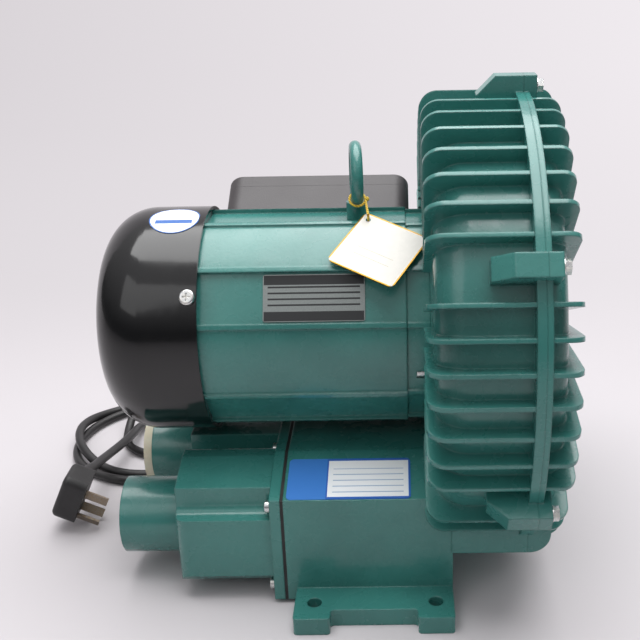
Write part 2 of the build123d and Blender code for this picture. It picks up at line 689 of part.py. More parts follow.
def neck_bolts():
    face = CASE_BACK_X + CASE_BACK_WALL
    made = []
    for y, z in neck_bolt_places():
        head = hex_x(NECK_BOLT_AF, face, face + 4, y, z)
        made.append(lifted(cyl_x(NECK_BOLT_D / 2, MOTOR_FRONT_X + 2, face, y, z) + head))
    return made


def rear_shield():
    x0, x1 = bearing_span(True)
    disc_x = MOTOR_REAR_X - SHIELD_T
    disc = cyl_x(FAN_COVER_R - FAN_COVER_WALL - SEAT_GAP, disc_x, MOTOR_REAR_X)
    spigot_x = MOTOR_REAR_X + SPIGOT_L
    spigot = tube_x(MOTOR_BORE_R - FIT_GAP, MOTOR_BORE_R - SPIGOT_WALL, MOTOR_REAR_X - 1, spigot_x)
    hub = cyl_x(REAR_BEARING[1] / 2 + HUB_WALL, x0 - HUB_WALL, x1)
    shield = disc + spigot + hub
    seat = cyl_x(REAR_BEARING[1] / 2, x0 - 2, x1 + 5)
    hole = cyl_x(FAN_SEAT_R + 2, x0 - 20, x1)
    screws = [cyl_x(SHELL_SCREW_D / 2 + HOLE_GAP / 2, disc_x - 1, MOTOR_REAR_X + 1, y, z)
              for y, z in shell_screw_places(REAR_SCREW_ANGLES)]
    radial = [around(a) * (Pos(COVER_SCREW_X, 0, FAN_COVER_R) * Cylinder(COVER_SCREW_R, 30))
              for a in COVER_SCREW_ANGLES]
    return lifted(cut(shield, [seat, hole] + screws + radial))


def rear_shield_screws():
    disc_x = MOTOR_REAR_X - SHIELD_T
    return [lifted(cyl_x(SHELL_SCREW_HEAD_R, disc_x - 4, disc_x, y, z)
                   + cyl_x(SHELL_SCREW_D / 2, disc_x - 1, MOTOR_REAR_X + SHELL_SCREW_REACH, y, z))
            for y, z in shell_screw_places(REAR_SCREW_ANGLES)]


def wave_washer():
    x0, _ = bearing_span(True)
    return lifted(tube_x(REAR_BEARING[1] / 2 - 0.5, REAR_BEARING[1] / 2 - 4, x0 - 2, x0))


def stator_core():
    core = tube_x(MOTOR_BORE_R, ROTOR_R + AIR_GAP, STATOR_X0, STATOR_X1)
    slot = block(STATOR_X0 - 1, STATOR_X1 + 1, -2.8, 2.8, ROTOR_R + 3, MOTOR_BORE_R - CORE_BACK)
    return lifted(cut(core, [Rot(360.0 / STATOR_SLOTS * i, 0, 0) * slot for i in range(STATOR_SLOTS)]))


def stator_windings():
    """Copper in the slots and the end turns at both ends."""
    outer = MOTOR_BORE_R - WINDING_GAP
    coil = tube_x(outer, ROTOR_R + 3.5, STATOR_X0 - END_TURN_REAR, STATOR_X0)
    coil = coil + tube_x(outer, ROTOR_R + 3.5, STATOR_X1, STATOR_X1 + END_TURN_FRONT)
    bar = block(STATOR_X0 - 1, STATOR_X1 + 1, -2.5, 2.5, ROTOR_R + 4, MOTOR_BORE_R - CORE_BACK - 0.5)
    return lifted(joined(coil, [Rot(360.0 / STATOR_SLOTS * i, 0, 0) * bar for i in range(STATOR_SLOTS)]))


def rotor_core():
    return lifted(tube_x(ROTOR_R, ROTOR_SEAT_R, STATOR_X0, STATOR_X1))


def rotor_cage():
    """Cast end rings of the squirrel cage."""
    return [lifted(tube_x(ROTOR_R - 2, ROTOR_SEAT_R + 10, STATOR_X0 - 7, STATOR_X0)),
            lifted(tube_x(ROTOR_R - 2, ROTOR_SEAT_R + 10, STATOR_X1, STATOR_X1 + 7))]


# ---------------------------------------------------------------- fan and fan cover
def cooling_fan():
    hub = cyl_x(FAN_HUB_R, FAN_X0, FAN_X1)
    plate = cyl_x(FAN_R, FAN_X1 - FAN_PLATE_T, FAN_X1)
    half = FAN_BLADE_T / 2
    blade = block(FAN_X0, FAN_X1 - FAN_PLATE_T / 2, -half, half, FAN_HUB_R - 1, FAN_R - 1)
    fan = joined(hub + plate, [Rot(360.0 / FAN_BLADES * i, 0, 0) * blade for i in range(FAN_BLADES)])
    return lifted(fan - cyl_x(FAN_SEAT_R, FAN_X0 - 1, FAN_X1 + 1))


def fan_clip():
    return lifted(tube_x(FAN_SEAT_R + 4, FAN_SEAT_R, FAN_X0 - FAN_CLIP_T, FAN_X0))


def fan_cover():
    """Moulded dome with air slots in its end face."""
    outside = cyl_x(FAN_COVER_R, COVER_END_X, COVER_RIM_X)
    outside = fillet(outside.edges().group_by(Axis.X)[0], FAN_COVER_CORNER)
    wall = FAN_COVER_WALL
    inside = cyl_x(FAN_COVER_R - wall, COVER_END_X + wall, COVER_RIM_X + 1)
    inside = fillet(inside.edges().group_by(Axis.X)[0], FAN_COVER_CORNER - wall)
    half = GRILLE_SLOT_W / 2
    slot = block(COVER_END_X - 1, COVER_END_X + wall + 1, -half, half, GRILLE_INNER_R, GRILLE_R)
    slots = [Rot(360.0 / GRILLE_SLOTS * i, 0, 0) * slot for i in range(GRILLE_SLOTS)]
    holes = [around(a) * (Pos(COVER_SCREW_X, 0, FAN_COVER_R) * Cylinder(COVER_SCREW_R + HOLE_GAP / 2, 20))
             for a in COVER_SCREW_ANGLES]
    return lifted(cut(outside - inside, slots + holes))


def fan_cover_screws():
    """Pan head screws with a cross recess."""
    half = COVER_SCREW_HEAD_T / 2
    head = Pos(COVER_SCREW_X, 0, FAN_COVER_R + half) * Cylinder(COVER_SCREW_HEAD_R, COVER_SCREW_HEAD_T)
    head = fillet(head.edges().group_by(Axis.Z)[-1], half)
    bars = Box(COVER_SCREW_HEAD_R, 1.1, 1.4) + Box(1.1, COVER_SCREW_HEAD_R, 1.4)
    cross = Pos(COVER_SCREW_X, 0, FAN_COVER_R + COVER_SCREW_HEAD_T - 0.4) * bars
    shank_mid = FAN_COVER_R + 1 - COVER_SCREW_L / 2
    shank = Pos(COVER_SCREW_X, 0, shank_mid) * Cylinder(COVER_SCREW_R, COVER_SCREW_L)
    screw = head + shank - cross
    return [lifted(around(a) * screw) for a in COVER_SCREW_ANGLES]


def sticker():
    """Round sticker on top of the fan cover."""
    shell = tube_x(FAN_COVER_R + LABEL_T, FAN_COVER_R, COVER_END_X + FAN_COVER_CORNER + 1, COVER_RIM_X - 4)
    disc = Pos(COVER_SCREW_X - STICKER_FROM_SCREW, 0, FAN_COVER_R) * Cylinder(STICKER_R, 40)
    return lifted(around(STICKER_ANGLE) * (shell & disc))


# ---------------------------------------------------------------- small pieces on the motor
def eye_frame(turn):
    """A place on the eye bolt's ring, turned a little about the upright."""
    pitch = EYE_OUTER_D / 2 - EYE_WIRE_D / 2
    middle = EYE_TOP - EYE_OUTER_D / 2
    upright = Pos(EYE_X, 0, 0) * Rot(0, 0, EYE_TURN)
    return upright * Pos(0, pitch * cos(radians(turn)), middle + pitch * sin(radians(turn)))


def eye_bolt():
    ring_mid = EYE_TOP - EYE_OUTER_D / 2
    ring = Pos(EYE_X, 0, ring_mid) * Rot(0, 0, EYE_TURN) * Rot(0, 90, 0) \
        * Torus(EYE_OUTER_D / 2 - EYE_WIRE_D / 2, EYE_WIRE_D / 2)
    collar_top = ring_mid - EYE_OUTER_D / 2 + EYE_WIRE_D * 0.6
    collar = Pos(EYE_X, 0, (FLAT_R + collar_top) / 2) * Cylinder(EYE_COLLAR_R, collar_top - FLAT_R)
    thread_z = (FLAT_R + MOTOR_BORE_R) / 2 + HOLE_GAP
    thread = Pos(EYE_X, 0, thread_z) * Cylinder(EYE_WIRE_D / 2, FLAT_R - MOTOR_BORE_R - HOLE_GAP / 2)
    return lifted(ring + collar + thread)


def nameplate():
    plate = Pos(PLATE_MID_X, 0, FLAT_R + PLATE_T / 2) * Box(PLATE_L, PLATE_W, PLATE_T)
    plate = fillet(plate.edges().filter_by(Axis.Z), 1.5)
    return lifted(around(PLATE_ANGLE) * plate)


def slope_angle():
    return degrees(atan2(BASE_TOP_Z - BASE_SHOULDER_Z, BASE_Y - BASE_TOP_Y))


def base_label():
    """Sticker on the near slope of the base."""
    mid_y = -(BASE_Y + BASE_TOP_Y) / 2
    mid_z = (BASE_TOP_Z + BASE_SHOULDER_Z) / 2
    plate = Pos(0, 0, LABEL_T / 2) * Box(BASE_LABEL_L, BASE_LABEL_W, LABEL_T)
    plate = fillet(plate.edges().filter_by(Axis.Z), 3)
    return Pos(BASE_LABEL_X, mid_y, mid_z) * Rot(slope_angle(), 0, 0) * Pos(0, -BASE_LABEL_DOWN, 0) * plate


def tag_frame():
    """Place of the tag: on the motor's round face, turned in its plane."""
    return around(TAG_ANGLE) * Pos(TAG_AT[0], TAG_AT[1], MOTOR_R + TAG_LIFT) * Rot(0, 0, TAG_TURN)


def tag_hole():
    return -TAG_L / 2 + TAG_HOLE_INSET, TAG_L / 2 - TAG_HOLE_INSET


def hang_tag():
    card = Pos(0, 0, TAG_T / 2) * Box(TAG_L, TAG_L, TAG_T)
    card = fillet(card.edges().filter_by(Axis.Z), TAG_CORNER)
    x, y = tag_hole()
    return lifted(tag_frame() * (card - Pos(x, y, 0) * Cylinder(TAG_HOLE_R, 5)))


def tag_string():
    """Elastic string: a turn round the eye bolt's ring and a strand through the tag's hole."""
    x, y = tag_hole()
    hole = (tag_frame() * Pos(x, y, TAG_T / 2)).position
    normal = Vector(0, -cos(radians(TAG_ANGLE)), sin(radians(TAG_ANGLE)))
    wire = eye_frame(STRING_TURN)
    loop_r = EYE_WIRE_D / 2 + SEAT_GAP + STRING_R
    loop = wire * Rot(STRING_TURN - 180, 0, 0) * Torus(loop_r, STRING_R)
    start = (wire * Pos(loop_r, 0, 0)).position
    route = Polyline(start, hole + normal * STRING_RISE, hole - normal * (TAG_T / 2 + STRING_TAIL))
    strand = sweep(Plane(start, z_dir=(hole + normal * STRING_RISE) - start) * Circle(STRING_R), route,
                   transition=Transition.ROUND)
    knot = wire * Pos(loop_r + STRING_R + SEAT_GAP, 0, 0) * Sphere(STRING_R * 2)
    return lifted(loop + strand + knot)


# ---------------------------------------------------------------- terminal box
def box_shell(r0, r1, inset):
    """A block on the terminal box's flat, its upright corners rounded."""
    body = block(TBOX_X0 + inset, TBOX_X1 - inset, -TBOX_W / 2 + inset, TBOX_W / 2 - inset, r0, r1)
    return fillet(body.edges().filter_by(Axis.Z), TBOX_CORNER - inset)


def lid_screw_spots():
    ends = (TBOX_X0 + TBOX_POST_IN, TBOX_X1 - TBOX_POST_IN)
    return [(x, s * (TBOX_W / 2 - TBOX_POST_IN)) for x in ends for s in (-1, 1)]


def terminal_box():
    body = box_shell(TBOX_FLOOR_R, TBOX_JOIN_R, 0)
    body = body - box_shell(TBOX_FLOOR_R + TBOX_WALL, TBOX_JOIN_R + 1, TBOX_WALL)
    foot = block(TBOX_X0 + 8, TBOX_X1 - 8, -FLAT_HALF_W + 1, FLAT_HALF_W - 1, FLAT_R, TBOX_FLOOR_R + 1)
    posts = [Pos(x, y, (TBOX_FLOOR_R + TBOX_JOIN_R) / 2) * Cylinder(TBOX_POST_R, TBOX_JOIN_R - TBOX_FLOOR_R)
             for x, y in lid_screw_spots()]
    body = body + foot + posts
    holes = [Pos(x, y, TBOX_JOIN_R) * Cylinder(LID_SCREW_R, 18) for x, y in lid_screw_spots()]
    wire = Pos((TBOX_X0 + TBOX_X1) / 2, 0, FLAT_R) * Cylinder(WIRE_HOLE_R, 30)
    gland = cyl_x(GLAND_D * GLAND_THREAD_SHARE, TBOX_X0 - 1, TBOX_X0 + TBOX_WALL + 1, 0, GLAND_R)
    return lifted(around(TBOX_ANGLE) * cut(body, holes + [wire, gland]))


def terminal_box_lid():
    lid = box_shell(TBOX_JOIN_R, TBOX_TOP_R, 0)
    lid = fillet(lid.edges().group_by(Axis.Z)[-1], 2.5)
    lid = lid - box_shell(TBOX_JOIN_R - 1, TBOX_TOP_R - LID_SKIRT_WALL, LID_SKIRT_WALL)
    lid = lid + [Pos(x, y, (TBOX_JOIN_R + TBOX_TOP_R - 1) / 2) * Cylinder(TBOX_POST_R - 0.5, LID_T - 1)
                 for x, y in lid_screw_spots()]
    stepped = Cylinder(LID_SCREW_R + HOLE_GAP, 40) + Pos(0, 0, 1) * Cylinder(LID_SCREW_HEAD_R + HOLE_GAP, 6)
    holes = [Pos(x, y, TBOX_TOP_R) * stepped for x, y in lid_screw_spots()]
    return lifted(around(TBOX_ANGLE) * cut(lid, holes))


def lid_screws():
    made = []
    for x, y in lid_screw_spots():
        z1 = TBOX_TOP_R + 0.3
        head = Pos(x, y, z1 - 1.15) * Cylinder(LID_SCREW_HEAD_R, 2.3)
        cross = Pos(x, y, z1) * (Box(4, 0.9, 1.4) + Box(0.9, 4, 1.4))
        shank = Pos(x, y, z1 - 11) * Cylinder(LID_SCREW_R, 18)
        made.append(lifted(around(TBOX_ANGLE) * (head + shank - cross)))
    return made


def capacitor():
    r = TBOX_FLOOR_R + TBOX_WALL + CAPACITOR_D / 2
    x1 = TBOX_X1 - CAPACITOR_IN
    can = cyl_x(CAPACITOR_D / 2, x1 - CAPACITOR_L, x1, 0, r)
    tabs = block(x1 - CAPACITOR_L - CAPACITOR_TAB, x1 - CAPACITOR_L + 1, -7, -6.2, r - 3, r + 3)
    tabs = tabs + mirror(tabs, Plane.XZ)
    return lifted(around(TBOX_ANGLE) * (can + tabs))


def terminal_block():
    z0 = TBOX_FLOOR_R + TBOX_WALL
    x0 = TBOX_X0 + BLOCK_IN
    pitch = BLOCK_W / BLOCK_WAYS
    body = block(x0, x0 + BLOCK_L, -BLOCK_W / 2, BLOCK_W / 2, z0, z0 + BLOCK_H)
    pits = [Pos(x0 + BLOCK_L / 2, (i + 0.5) * pitch - BLOCK_W / 2, z0 + BLOCK_H) * Cylinder(pitch * 0.26, 8)
            for i in range(BLOCK_WAYS)]
    return lifted(around(TBOX_ANGLE) * cut(body, pits))


def cable_gland():
    """Gland body through the box's end wall, with its clamping nut."""
    x0 = TBOX_X0
    thread = cyl_x(GLAND_D * GLAND_THREAD_SHARE, x0, x0 + TBOX_WALL + 3, 0, GLAND_R)
    collar = hex_x(GLAND_D, x0 - GLAND_COLLAR_T, x0, 0, GLAND_R)
    dome = cyl_x(GLAND_D / 2 - 0.6, x0 - GLAND_L, x0 - GLAND_COLLAR_T + 1, 0, GLAND_R)
    dome = fillet(dome.edges().group_by(Axis.X)[0], GLAND_D * 0.18)
    nut = hex_x(GLAND_D, x0 + TBOX_WALL, x0 + TBOX_WALL + 4, 0, GLAND_R)
    return lifted(around(TBOX_ANGLE) * (thread + collar + dome + nut))


# ---------------------------------------------------------------- silencer
def silencer_bolt_places():
    side, middle = BASE_Y - 9.0, (GROOVE_Y0 + GROOVE_Y1) / 2
    spots = ((side, BASE_SHOULDER_Z - 9.0), (middle, BASE_TOP_Z - 9.0), (side - 2.0, BASE_BOTTOM_Z + 5.5))
    return [(s * y, z) for s in (-1, 1) for y, z in spots]


def flange_outline():
    return make_face(Polyline(*base_outline(), close=True))


def silencer_gasket():
    x0 = BASE_X0 - GASKET_T
    sheet = extrude(Plane.YZ.offset(x0) * flange_outline(), GASKET_T)
    windows = [extrude(duct_face(x0 - 1, s), GASKET_T + 2) for s in (-1, 1)]
    holes = [cyl_x(SILENCER_BOLT_D / 2 + HOLE_GAP / 2, x0 - 1, BASE_X0 + 1, y, z)
             for y, z in silencer_bolt_places()]
    return cut(sheet, windows + holes)


def chamber_face(x, side, inset):
    """Outline of one silencer chamber."""
    y0, y1 = CHAMBER_MID_WALL + inset, CHAMBER_Y - inset
    z0, z1 = CHAMBER_LOW_Z + inset, CHAMBER_TOP_Z - inset
    points = [(y0, z0), (y1 - 6, z0), (y1, z0 + 6), (y1, z1 - 10), (y1 - 8, z1), (y0, z1)]
    return Plane.YZ.offset(x) * make_face(Polyline(*[(side * y, z) for y, z in points], close=True))


def flange_x1():
    return BASE_X0 - GASKET_T


def silencer_housing():
    """Cast silencer box with two chambers, two hose ports and channels for its bolts."""
    x1 = flange_x1()
    x_step = x1 - SILENCER_FLANGE_T
    half_y = BASE_Y - SILENCER_INSET_Y
    top = BASE_TOP_Z - SILENCER_DROP
    slope = (BASE_TOP_Z - BASE_SHOULDER_Z) / (BASE_Y - BASE_TOP_Y)
    side_top = top - (half_y - BASE_TOP_Y) * slope
    half = [(half_y - 6, SILENCER_FOOT_Z), (half_y, SILENCER_FOOT_Z + 6), (half_y, side_top),
            (BASE_TOP_Y, top)]
    outline = half + [(-y, z) for y, z in reversed(half)]
    body = extrude(Plane.YZ.offset(SILENCER_X0) * make_face(Polyline(*outline, close=True)), x1 - SILENCER_X0)
    upright = [e for e in body.edges().filter_by(Axis.Z) if e.center().X < SILENCER_X0 + 1]
    body = fillet(upright, 8)
    cuts = []
    for s in (-1, 1):
        y0, y1 = sorted((s * (half_y - NOTCH_W), s * (half_y + 5)))
        notch = block(SILENCER_X0 - 1, x_step, y0, y1, NOTCH_Z, top + 5)
        cove = [e for e in notch.edges().filter_by(Axis.X)
                if abs(e.center().Y) < half_y - NOTCH_W + 1 and e.center().Z < NOTCH_Z + 1]
        cuts.append(fillet(cove, NOTCH_FILLET))
        y0, y1 = sorted((s * GROOVE_Y0, s * GROOVE_Y1))
        cuts.append(block(SILENCER_X0 - 1, x_step, y0, y1, top - GROOVE_DEPTH, top + 5))
    body = cut(body, cuts)
    body = body + extrude(Plane.YZ.offset(x_step) * flange_outline(), SILENCER_FLANGE_T)
    body = body + [cyl_x(PORT_R, PORT_MOUTH_X, SILENCER_X0 + 9, s * PORT_Y, PORT_Z) for s in (-1, 1)]
    hollows = [extrude(chamber_face(SILENCER_X0 + CHAMBER_WALL, s, 0), x1 - SILENCER_X0) for s in (-1, 1)]
    bores = [cyl_x(PORT_BORE_R, PORT_MOUTH_X - 1, SILENCER_X0 + 10, s * PORT_Y, PORT_Z) for s in (-1, 1)]
    holes = [cyl_x(SILENCER_BOLT_D / 2 + HOLE_GAP / 2, x_step - 1, x1 + 1, y, z)
             for y, z in silencer_bolt_places()]
    return cut(body, hollows + bores + holes)


def silencer_bolts():
    face = flange_x1() - SILENCER_FLANGE_T
    made = []
    for y, z in silencer_bolt_places():
        head = cyl_x(SILENCER_BOLT_HEAD_R, face - SILENCER_BOLT_HEAD_T, face, y, z)
        head = fillet(head.edges().group_by(Axis.X)[0], 0.8)
        socket = hex_x(4.0, face - 5, face - 1.5, y, z)
        made.append(head + cyl_x(SILENCER_BOLT_D / 2, face - 1, BASE_X0 + 12, y, z) - socket)
    return made


def silencer_foam():
    """Sound absorbing sleeve in each chamber."""
    x0, x1 = SILENCER_X0 + CHAMBER_WALL + SEAT_GAP, flange_x1() - 2
    made = []
    for s in (-1, 1):
        sleeve = extrude(chamber_face(x0, s, SEAT_GAP), x1 - x0)
        made.append(sleeve - cyl_x(PORT_BORE_R, x0 - 1, x1 + 1, s * PORT_Y, PORT_Z))
    return made


def port_ring():
    """Pale plastic ring pressed into the far port's mouth."""
    inner = PORT_BORE_R - PORT_RING_WALL
    lip = tube_x(PORT_R, inner, PORT_MOUTH_X - PORT_RING_T, PORT_MOUTH_X, PORT_Y, PORT_Z)
    sleeve = tube_x(PORT_BORE_R, inner, PORT_MOUTH_X - 1, PORT_MOUTH_X + PORT_RING_SLEEVE, PORT_Y, PORT_Z)
    return lip + sleeve


# ---------------------------------------------------------------- power cord
def route_tube(points, name):
    """Straight runs joined by tangent arcs, each as large as its two runs allow."""
    corners = [Vector(*p) for p in points]
    radii = []
    for a, b, c in zip(corners, corners[1:], corners[2:]):
        half = radians((b - a).get_angle(c - b)) / 2
        radii.append(0.45 * min((b - a).length, (c - b).length) / tan(half))
    print(name, "radii", [round(r, 1) for r in radii])
    path = FilletPolyline(*corners, radius=radii)
    section = Plane(corners[0], z_dir=corners[1] - corners[0]) * Circle(CORD_D / 2)
    tube = sweep(section, path)
    print(name, "length", round(path.length, 1), "volume", round(tube.volume / section.area / path.length, 4))
    return tube


def cord_coil():
    """Outer shape of the loose loops on the floor."""
    ring = Cylinder(COIL_R_OUT, COIL_H) - Cylinder(COIL_R_IN, COIL_H + 2)
    return Pos(COIL_X, COIL_Y, COIL_H / 2 + 0.1) * ring


def plug_place():
    return Pos(*PLUG_AT) * Rot(0, PLUG_LEAN, 0)


def plug_body():
    body = block(-PLUG_DEPTH, 0, -PLUG_W / 2, PLUG_W / 2, -PLUG_LOW, PLUG_HIGH)
    body = fillet(body.edges().filter_by(Axis.X), PLUG_CORNER)
    body = fillet(body.edges().group_by(Axis.X)[0], PLUG_FACE_CORNER)
    return cut(plug_place() * body, plug_pins() + [plug_relief()])


def plug_relief():
    """Tapered strain relief between the plug and the cord."""
    tip = Vector(*TAIL_ROUTE[-1])
    root = Vector(*(plug_place() * Pos(-PLUG_DEPTH / 2, PLUG_W / 2 - 2, 12)).position)
    axis = (tip - root).normalized()
    cone = Cone(CORD_D * 0.85, CORD_D / 2 + 0.8, (tip - root).length,
                align=(Align.CENTER, Align.CENTER, Align.MIN))
    return Plane(root, z_dir=axis).location * cone


def plug_pins():
    """Three flat pins: the upright earth pin and the two sloping ones."""
    blade = Pos(PIN_L / 2 - 1, 0, 0) * Box(PIN_L + 2, PIN_T, PIN_W)
    earth = Pos(0, 0, EARTH_UP) * blade
    lives = [Pos(0, s * LIVE_APART, -LIVE_DOWN) * Rot(s * -LIVE_SLOPE, 0, 0) * blade for s in (-1, 1)]
    return [plug_place() * p for p in [earth] + lives]


# ---------------------------------------------------------------- write the pieces
front_outer, front_inner, front_balls = race_pair(FRONT_BEARING, False)
rear_outer, rear_inner, rear_balls = race_pair(REAR_BEARING, True)

PIECES = {
    "casing_base": casing_base(),
    "front_cover": front_cover(),
    "casing_bolts": casing_bolts(),
    "casing_washers": casing_washers(),
    "cover_plug": cover_plug(),
    "shaft_seal": shaft_seal(),
    "impeller": impeller(),
    "impeller_key": impeller_key(),
    "impeller_washer": impeller_washer(),
    "impeller_nut": impeller_nut(),
    "shaft": shaft(),
    "front_bearing_outer_race": front_outer,
    "front_bearing_inner_race": front_inner,
    "front_bearing_balls": front_balls,
    "rear_bearing_outer_race": rear_outer,
    "rear_bearing_inner_race": rear_inner,
    "rear_bearing_balls": rear_balls,
    "wave_washer": wave_washer(),
    "motor_housing": motor_housing(),
    "front_shield": front_shield(),
    "front_shield_screws": front_shield_screws(),
    "neck_bolts": neck_bolts(),
    "rear_shield": rear_shield(),
    "rear_shield_screws": rear_shield_screws(),
    "stator_core": stator_core(),
    "stator_windings": stator_windings(),
    "rotor_core": rotor_core(),
    "rotor_cage": rotor_cage(),
    "cooling_fan": cooling_fan(),
    "fan_clip": fan_clip(),
    "fan_cover": fan_cover(),
    "fan_cover_screws": fan_cover_screws(),
    "fan_cover_sticker": sticker(),
    "eye_bolt": eye_bolt(),
    "nameplate": nameplate(),
    "base_label": base_label(),
    "hang_tag": hang_tag(),
    "tag_string": tag_string(),
    "terminal_box": terminal_box(),
    "terminal_box_lid": terminal_box_lid(),
    "lid_screws": lid_screws(),
    "capacitor": capacitor(),
    "terminal_block": terminal_block(),
    "cable_gland": cable_gland(),
    "silencer_gasket": silencer_gasket(),
    "silencer_housing": silencer_housing(),
    "silencer_bolts": silencer_bolts(),
    "silencer_foam": silencer_foam(),
    "port_ring": port_ring(),
    "cord_lead": route_tube(LEAD_ROUTE, "cord_lead"),
    "cord_coil": cord_coil(),
    "cord_tail": route_tube(TAIL_ROUTE, "cord_tail"),
    "plug_relief": plug_relief(),
    "plug_body": plug_body(),
    "plug_pins": plug_pins(),
}

os.makedirs("parts", exist_ok=True)
for name, piece in PIECES.items():
    shape = Compound(children=[s for p in piece for s in p.solids()]) if isinstance(piece, list) else piece
    export_step(shape, f"parts/{name}.step")
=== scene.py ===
"""Side channel blower: finishes, cord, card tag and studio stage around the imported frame."""

import math

import bpy
from mathutils import Euler, Matrix, Vector


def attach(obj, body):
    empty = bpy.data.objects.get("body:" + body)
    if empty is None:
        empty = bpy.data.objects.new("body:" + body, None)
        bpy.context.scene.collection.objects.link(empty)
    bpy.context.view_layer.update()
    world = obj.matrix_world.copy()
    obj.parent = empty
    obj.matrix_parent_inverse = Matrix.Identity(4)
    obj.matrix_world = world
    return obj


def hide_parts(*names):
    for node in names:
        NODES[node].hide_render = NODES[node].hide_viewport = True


bl_info = {
    "name": "Side channel blower",
    "version": (1, 0, 0),
    "blender": (4, 5, 0),
    "location": "View3D > Sidebar > Blower",
    "description": "Dresses the packed side channel blower and builds its studio stage",
    "category": "Object",
}

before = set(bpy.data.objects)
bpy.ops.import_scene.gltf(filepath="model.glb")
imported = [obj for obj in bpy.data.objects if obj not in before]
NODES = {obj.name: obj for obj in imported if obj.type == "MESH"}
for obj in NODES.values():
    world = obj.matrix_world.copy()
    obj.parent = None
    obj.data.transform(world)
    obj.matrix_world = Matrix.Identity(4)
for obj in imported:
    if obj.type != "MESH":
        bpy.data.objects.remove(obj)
MM = 0.001

# the printed pieces: the middle of each in millimetres, and how far it turns in degrees
PLATE_CENTRE_MM, PLATE_TURN_DEG = (-35.0, -59.8, 202.0), (60.0, 0, 0)
LABEL_CENTRE_MM, LABEL_TURN_DEG = (-16.0, -78.5, 83.05), (15.26, 0, 0)
SHAFT_HEIGHT_MM = 167.5
TAG_FLAT_TURN_DEG = -30     # of the motor flat that the tag leans on, about the shaft
TAG_CENTRE_MM = (5.8, -8.6, 75.3)   # from the shaft, after that turn
TAG_TURN_DEG = 30.5         # of the tag in its own plane

# the camera and the stage, in metres
CAMERA_AT = (0.01985, -0.64813, 0.41642)
CAMERA_SHIFT_X = -0.117
CAMERA_CLIP_START = 0.05
SENSOR_WIDTH_MM = 36.0
PAPER_HALF_WIDTH = 4.0
PAPER_SWEEP = [(-3.0, 0), (1.6, 0), (2.0, 0.08), (2.25, 0.3), (2.35, 0.7), (2.35, 3.0)]    # Y and Z
PAPER_ROUGHNESS = 0.6
PAPER_PAINTED_LIGHT, PAPER_PAINTED_LIGHT_X = ("#D7D2D6", "#F1ECF0"), (-1.3, 0.8)    # painted light: the glowing paper's tones, darker at the left and brighter at the right
PAPER_FADE_Y = (0.06, 0.62)     # where the lit paper gives way to its glow of painted light
AIR_COLOUR, AIR_HEIGHTS, AIR_STRENGTHS = "#F2F0F2", (0.1, 0.9), (0.14, 0.95)
# each lamp's name, place, aim, size and watts
LAMPS = [("top_softbox", (0.1, 0.2, 1.5), (0, 0.05, 0.1), (1.6, 1.5), 33),
         ("front_softbox", (-0.9, -1.1, 1.2), (-0.05, 0, 0.15), (1.1, 0.9), 3)]


# ---------------------------------------------------------------- small helpers
def linear(code):
    """An sRGB hex value as linear red, green, blue and alpha."""
    parts = [int(code[i:i + 2], 16) / 255 for i in (1, 3, 5)]
    return tuple(p / 12.92 if p <= 0.04045 else ((p + 0.055) / 1.055) ** 2.4 for p in parts) + (1.0,)


def add(tree, kind, links=None, **settings):
    """Adds a shader node, sets its properties or sockets by name, and links its inputs."""
    node = tree.nodes.new(kind)
    for name, value in settings.items():
        if hasattr(node, name):
            setattr(node, name, value)
        else:
            node.inputs[name.replace("_", " ")].default_value = value
    for name, source in (links or {}).items():
        tree.links.new(source, node.inputs[name])
    return node


def new_material(name):
    """An empty node material: its tree and its Principled shader."""
    material = bpy.data.materials.new(name)
    material.use_nodes = True
    return material, material.node_tree, material.node_tree.nodes["Principled BSDF"]


def shader(bsdf, **values):
    """Sets the shader's own sockets."""
    for name, value in values.items():
        bsdf.inputs[name.replace("_", " ")].default_value = value


def place(tree):
    """Object coordinates in metres."""
    return add(tree, "ShaderNodeTexCoord").outputs["Object"]


def noise(tree, size_mm, detail=2.0, where=None, distortion=0.0):
    """Noise whose features are about size_mm across."""
    node = add(tree, "ShaderNodeTexNoise", {"Vector": where or place(tree)},
               Detail=detail, Distortion=distortion)
    node.inputs["Scale"].default_value = 1 / (size_mm * MM)
    return node.outputs["Fac"]


def spread(tree, source, low, high, out_low, out_high):
    """Maps a value from one range to another."""
    node = add(tree, "ShaderNodeMapRange", {"Value": source})
    for i, value in enumerate((low, high, out_low, out_high)):
        node.inputs[i + 1].default_value = value
    return node.outputs["Result"]


def blend_colours(tree, share, first, second):
    """Mixes two colours, each a hex value or a socket."""
    node = add(tree, "ShaderNodeMix", data_type="RGBA")
    tree.links.new(share, node.inputs["Factor"])
    for index, colour in ((6, first), (7, second)):
        if isinstance(colour, str):
            node.inputs[index].default_value = linear(colour)
        else:
            tree.links.new(colour, node.inputs[index])
    return node.outputs[2]


def calculate(tree, operation, first, second=None):
    """One Math node on sockets or numbers."""
    node = add(tree, "ShaderNodeMath", operation=operation)
    for index, value in enumerate((first, second)):
        if isinstance(value, (int, float)):
            node.inputs[index].default_value = value
        elif value is not None:
            tree.links.new(value, node.inputs[index])
    return node.outputs[0]


def relief(tree, bsdf, height, depth_mm, rounding_mm=0.0, strength=1.0):
    """Bumps the surface by height, on edges that look rounded."""
    bump = add(tree, "ShaderNodeBump", {"Height": height}, Strength=strength, Distance=depth_mm * MM)
    if rounding_mm:
        bevel = add(tree, "ShaderNodeBevel", samples=6, Radius=rounding_mm * MM)
        tree.links.new(bevel.outputs["Normal"], bump.inputs["Normal"])
    tree.links.new(bump.outputs["Normal"], bsdf.inputs["Normal"])


def paint(material, *names):
    """Gives one finish to CAD nodes."""
    for name in names:
        slots = NODES[name].data.materials
        slots.clear()
        slots.append(material)


def hang_on(piece, body, slot, *replaced):
    """Rides a new piece on its body and hides the nodes that it stands for; the slot is not used."""
    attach(piece, body)
    if replaced:
        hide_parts(*replaced)
    return piece


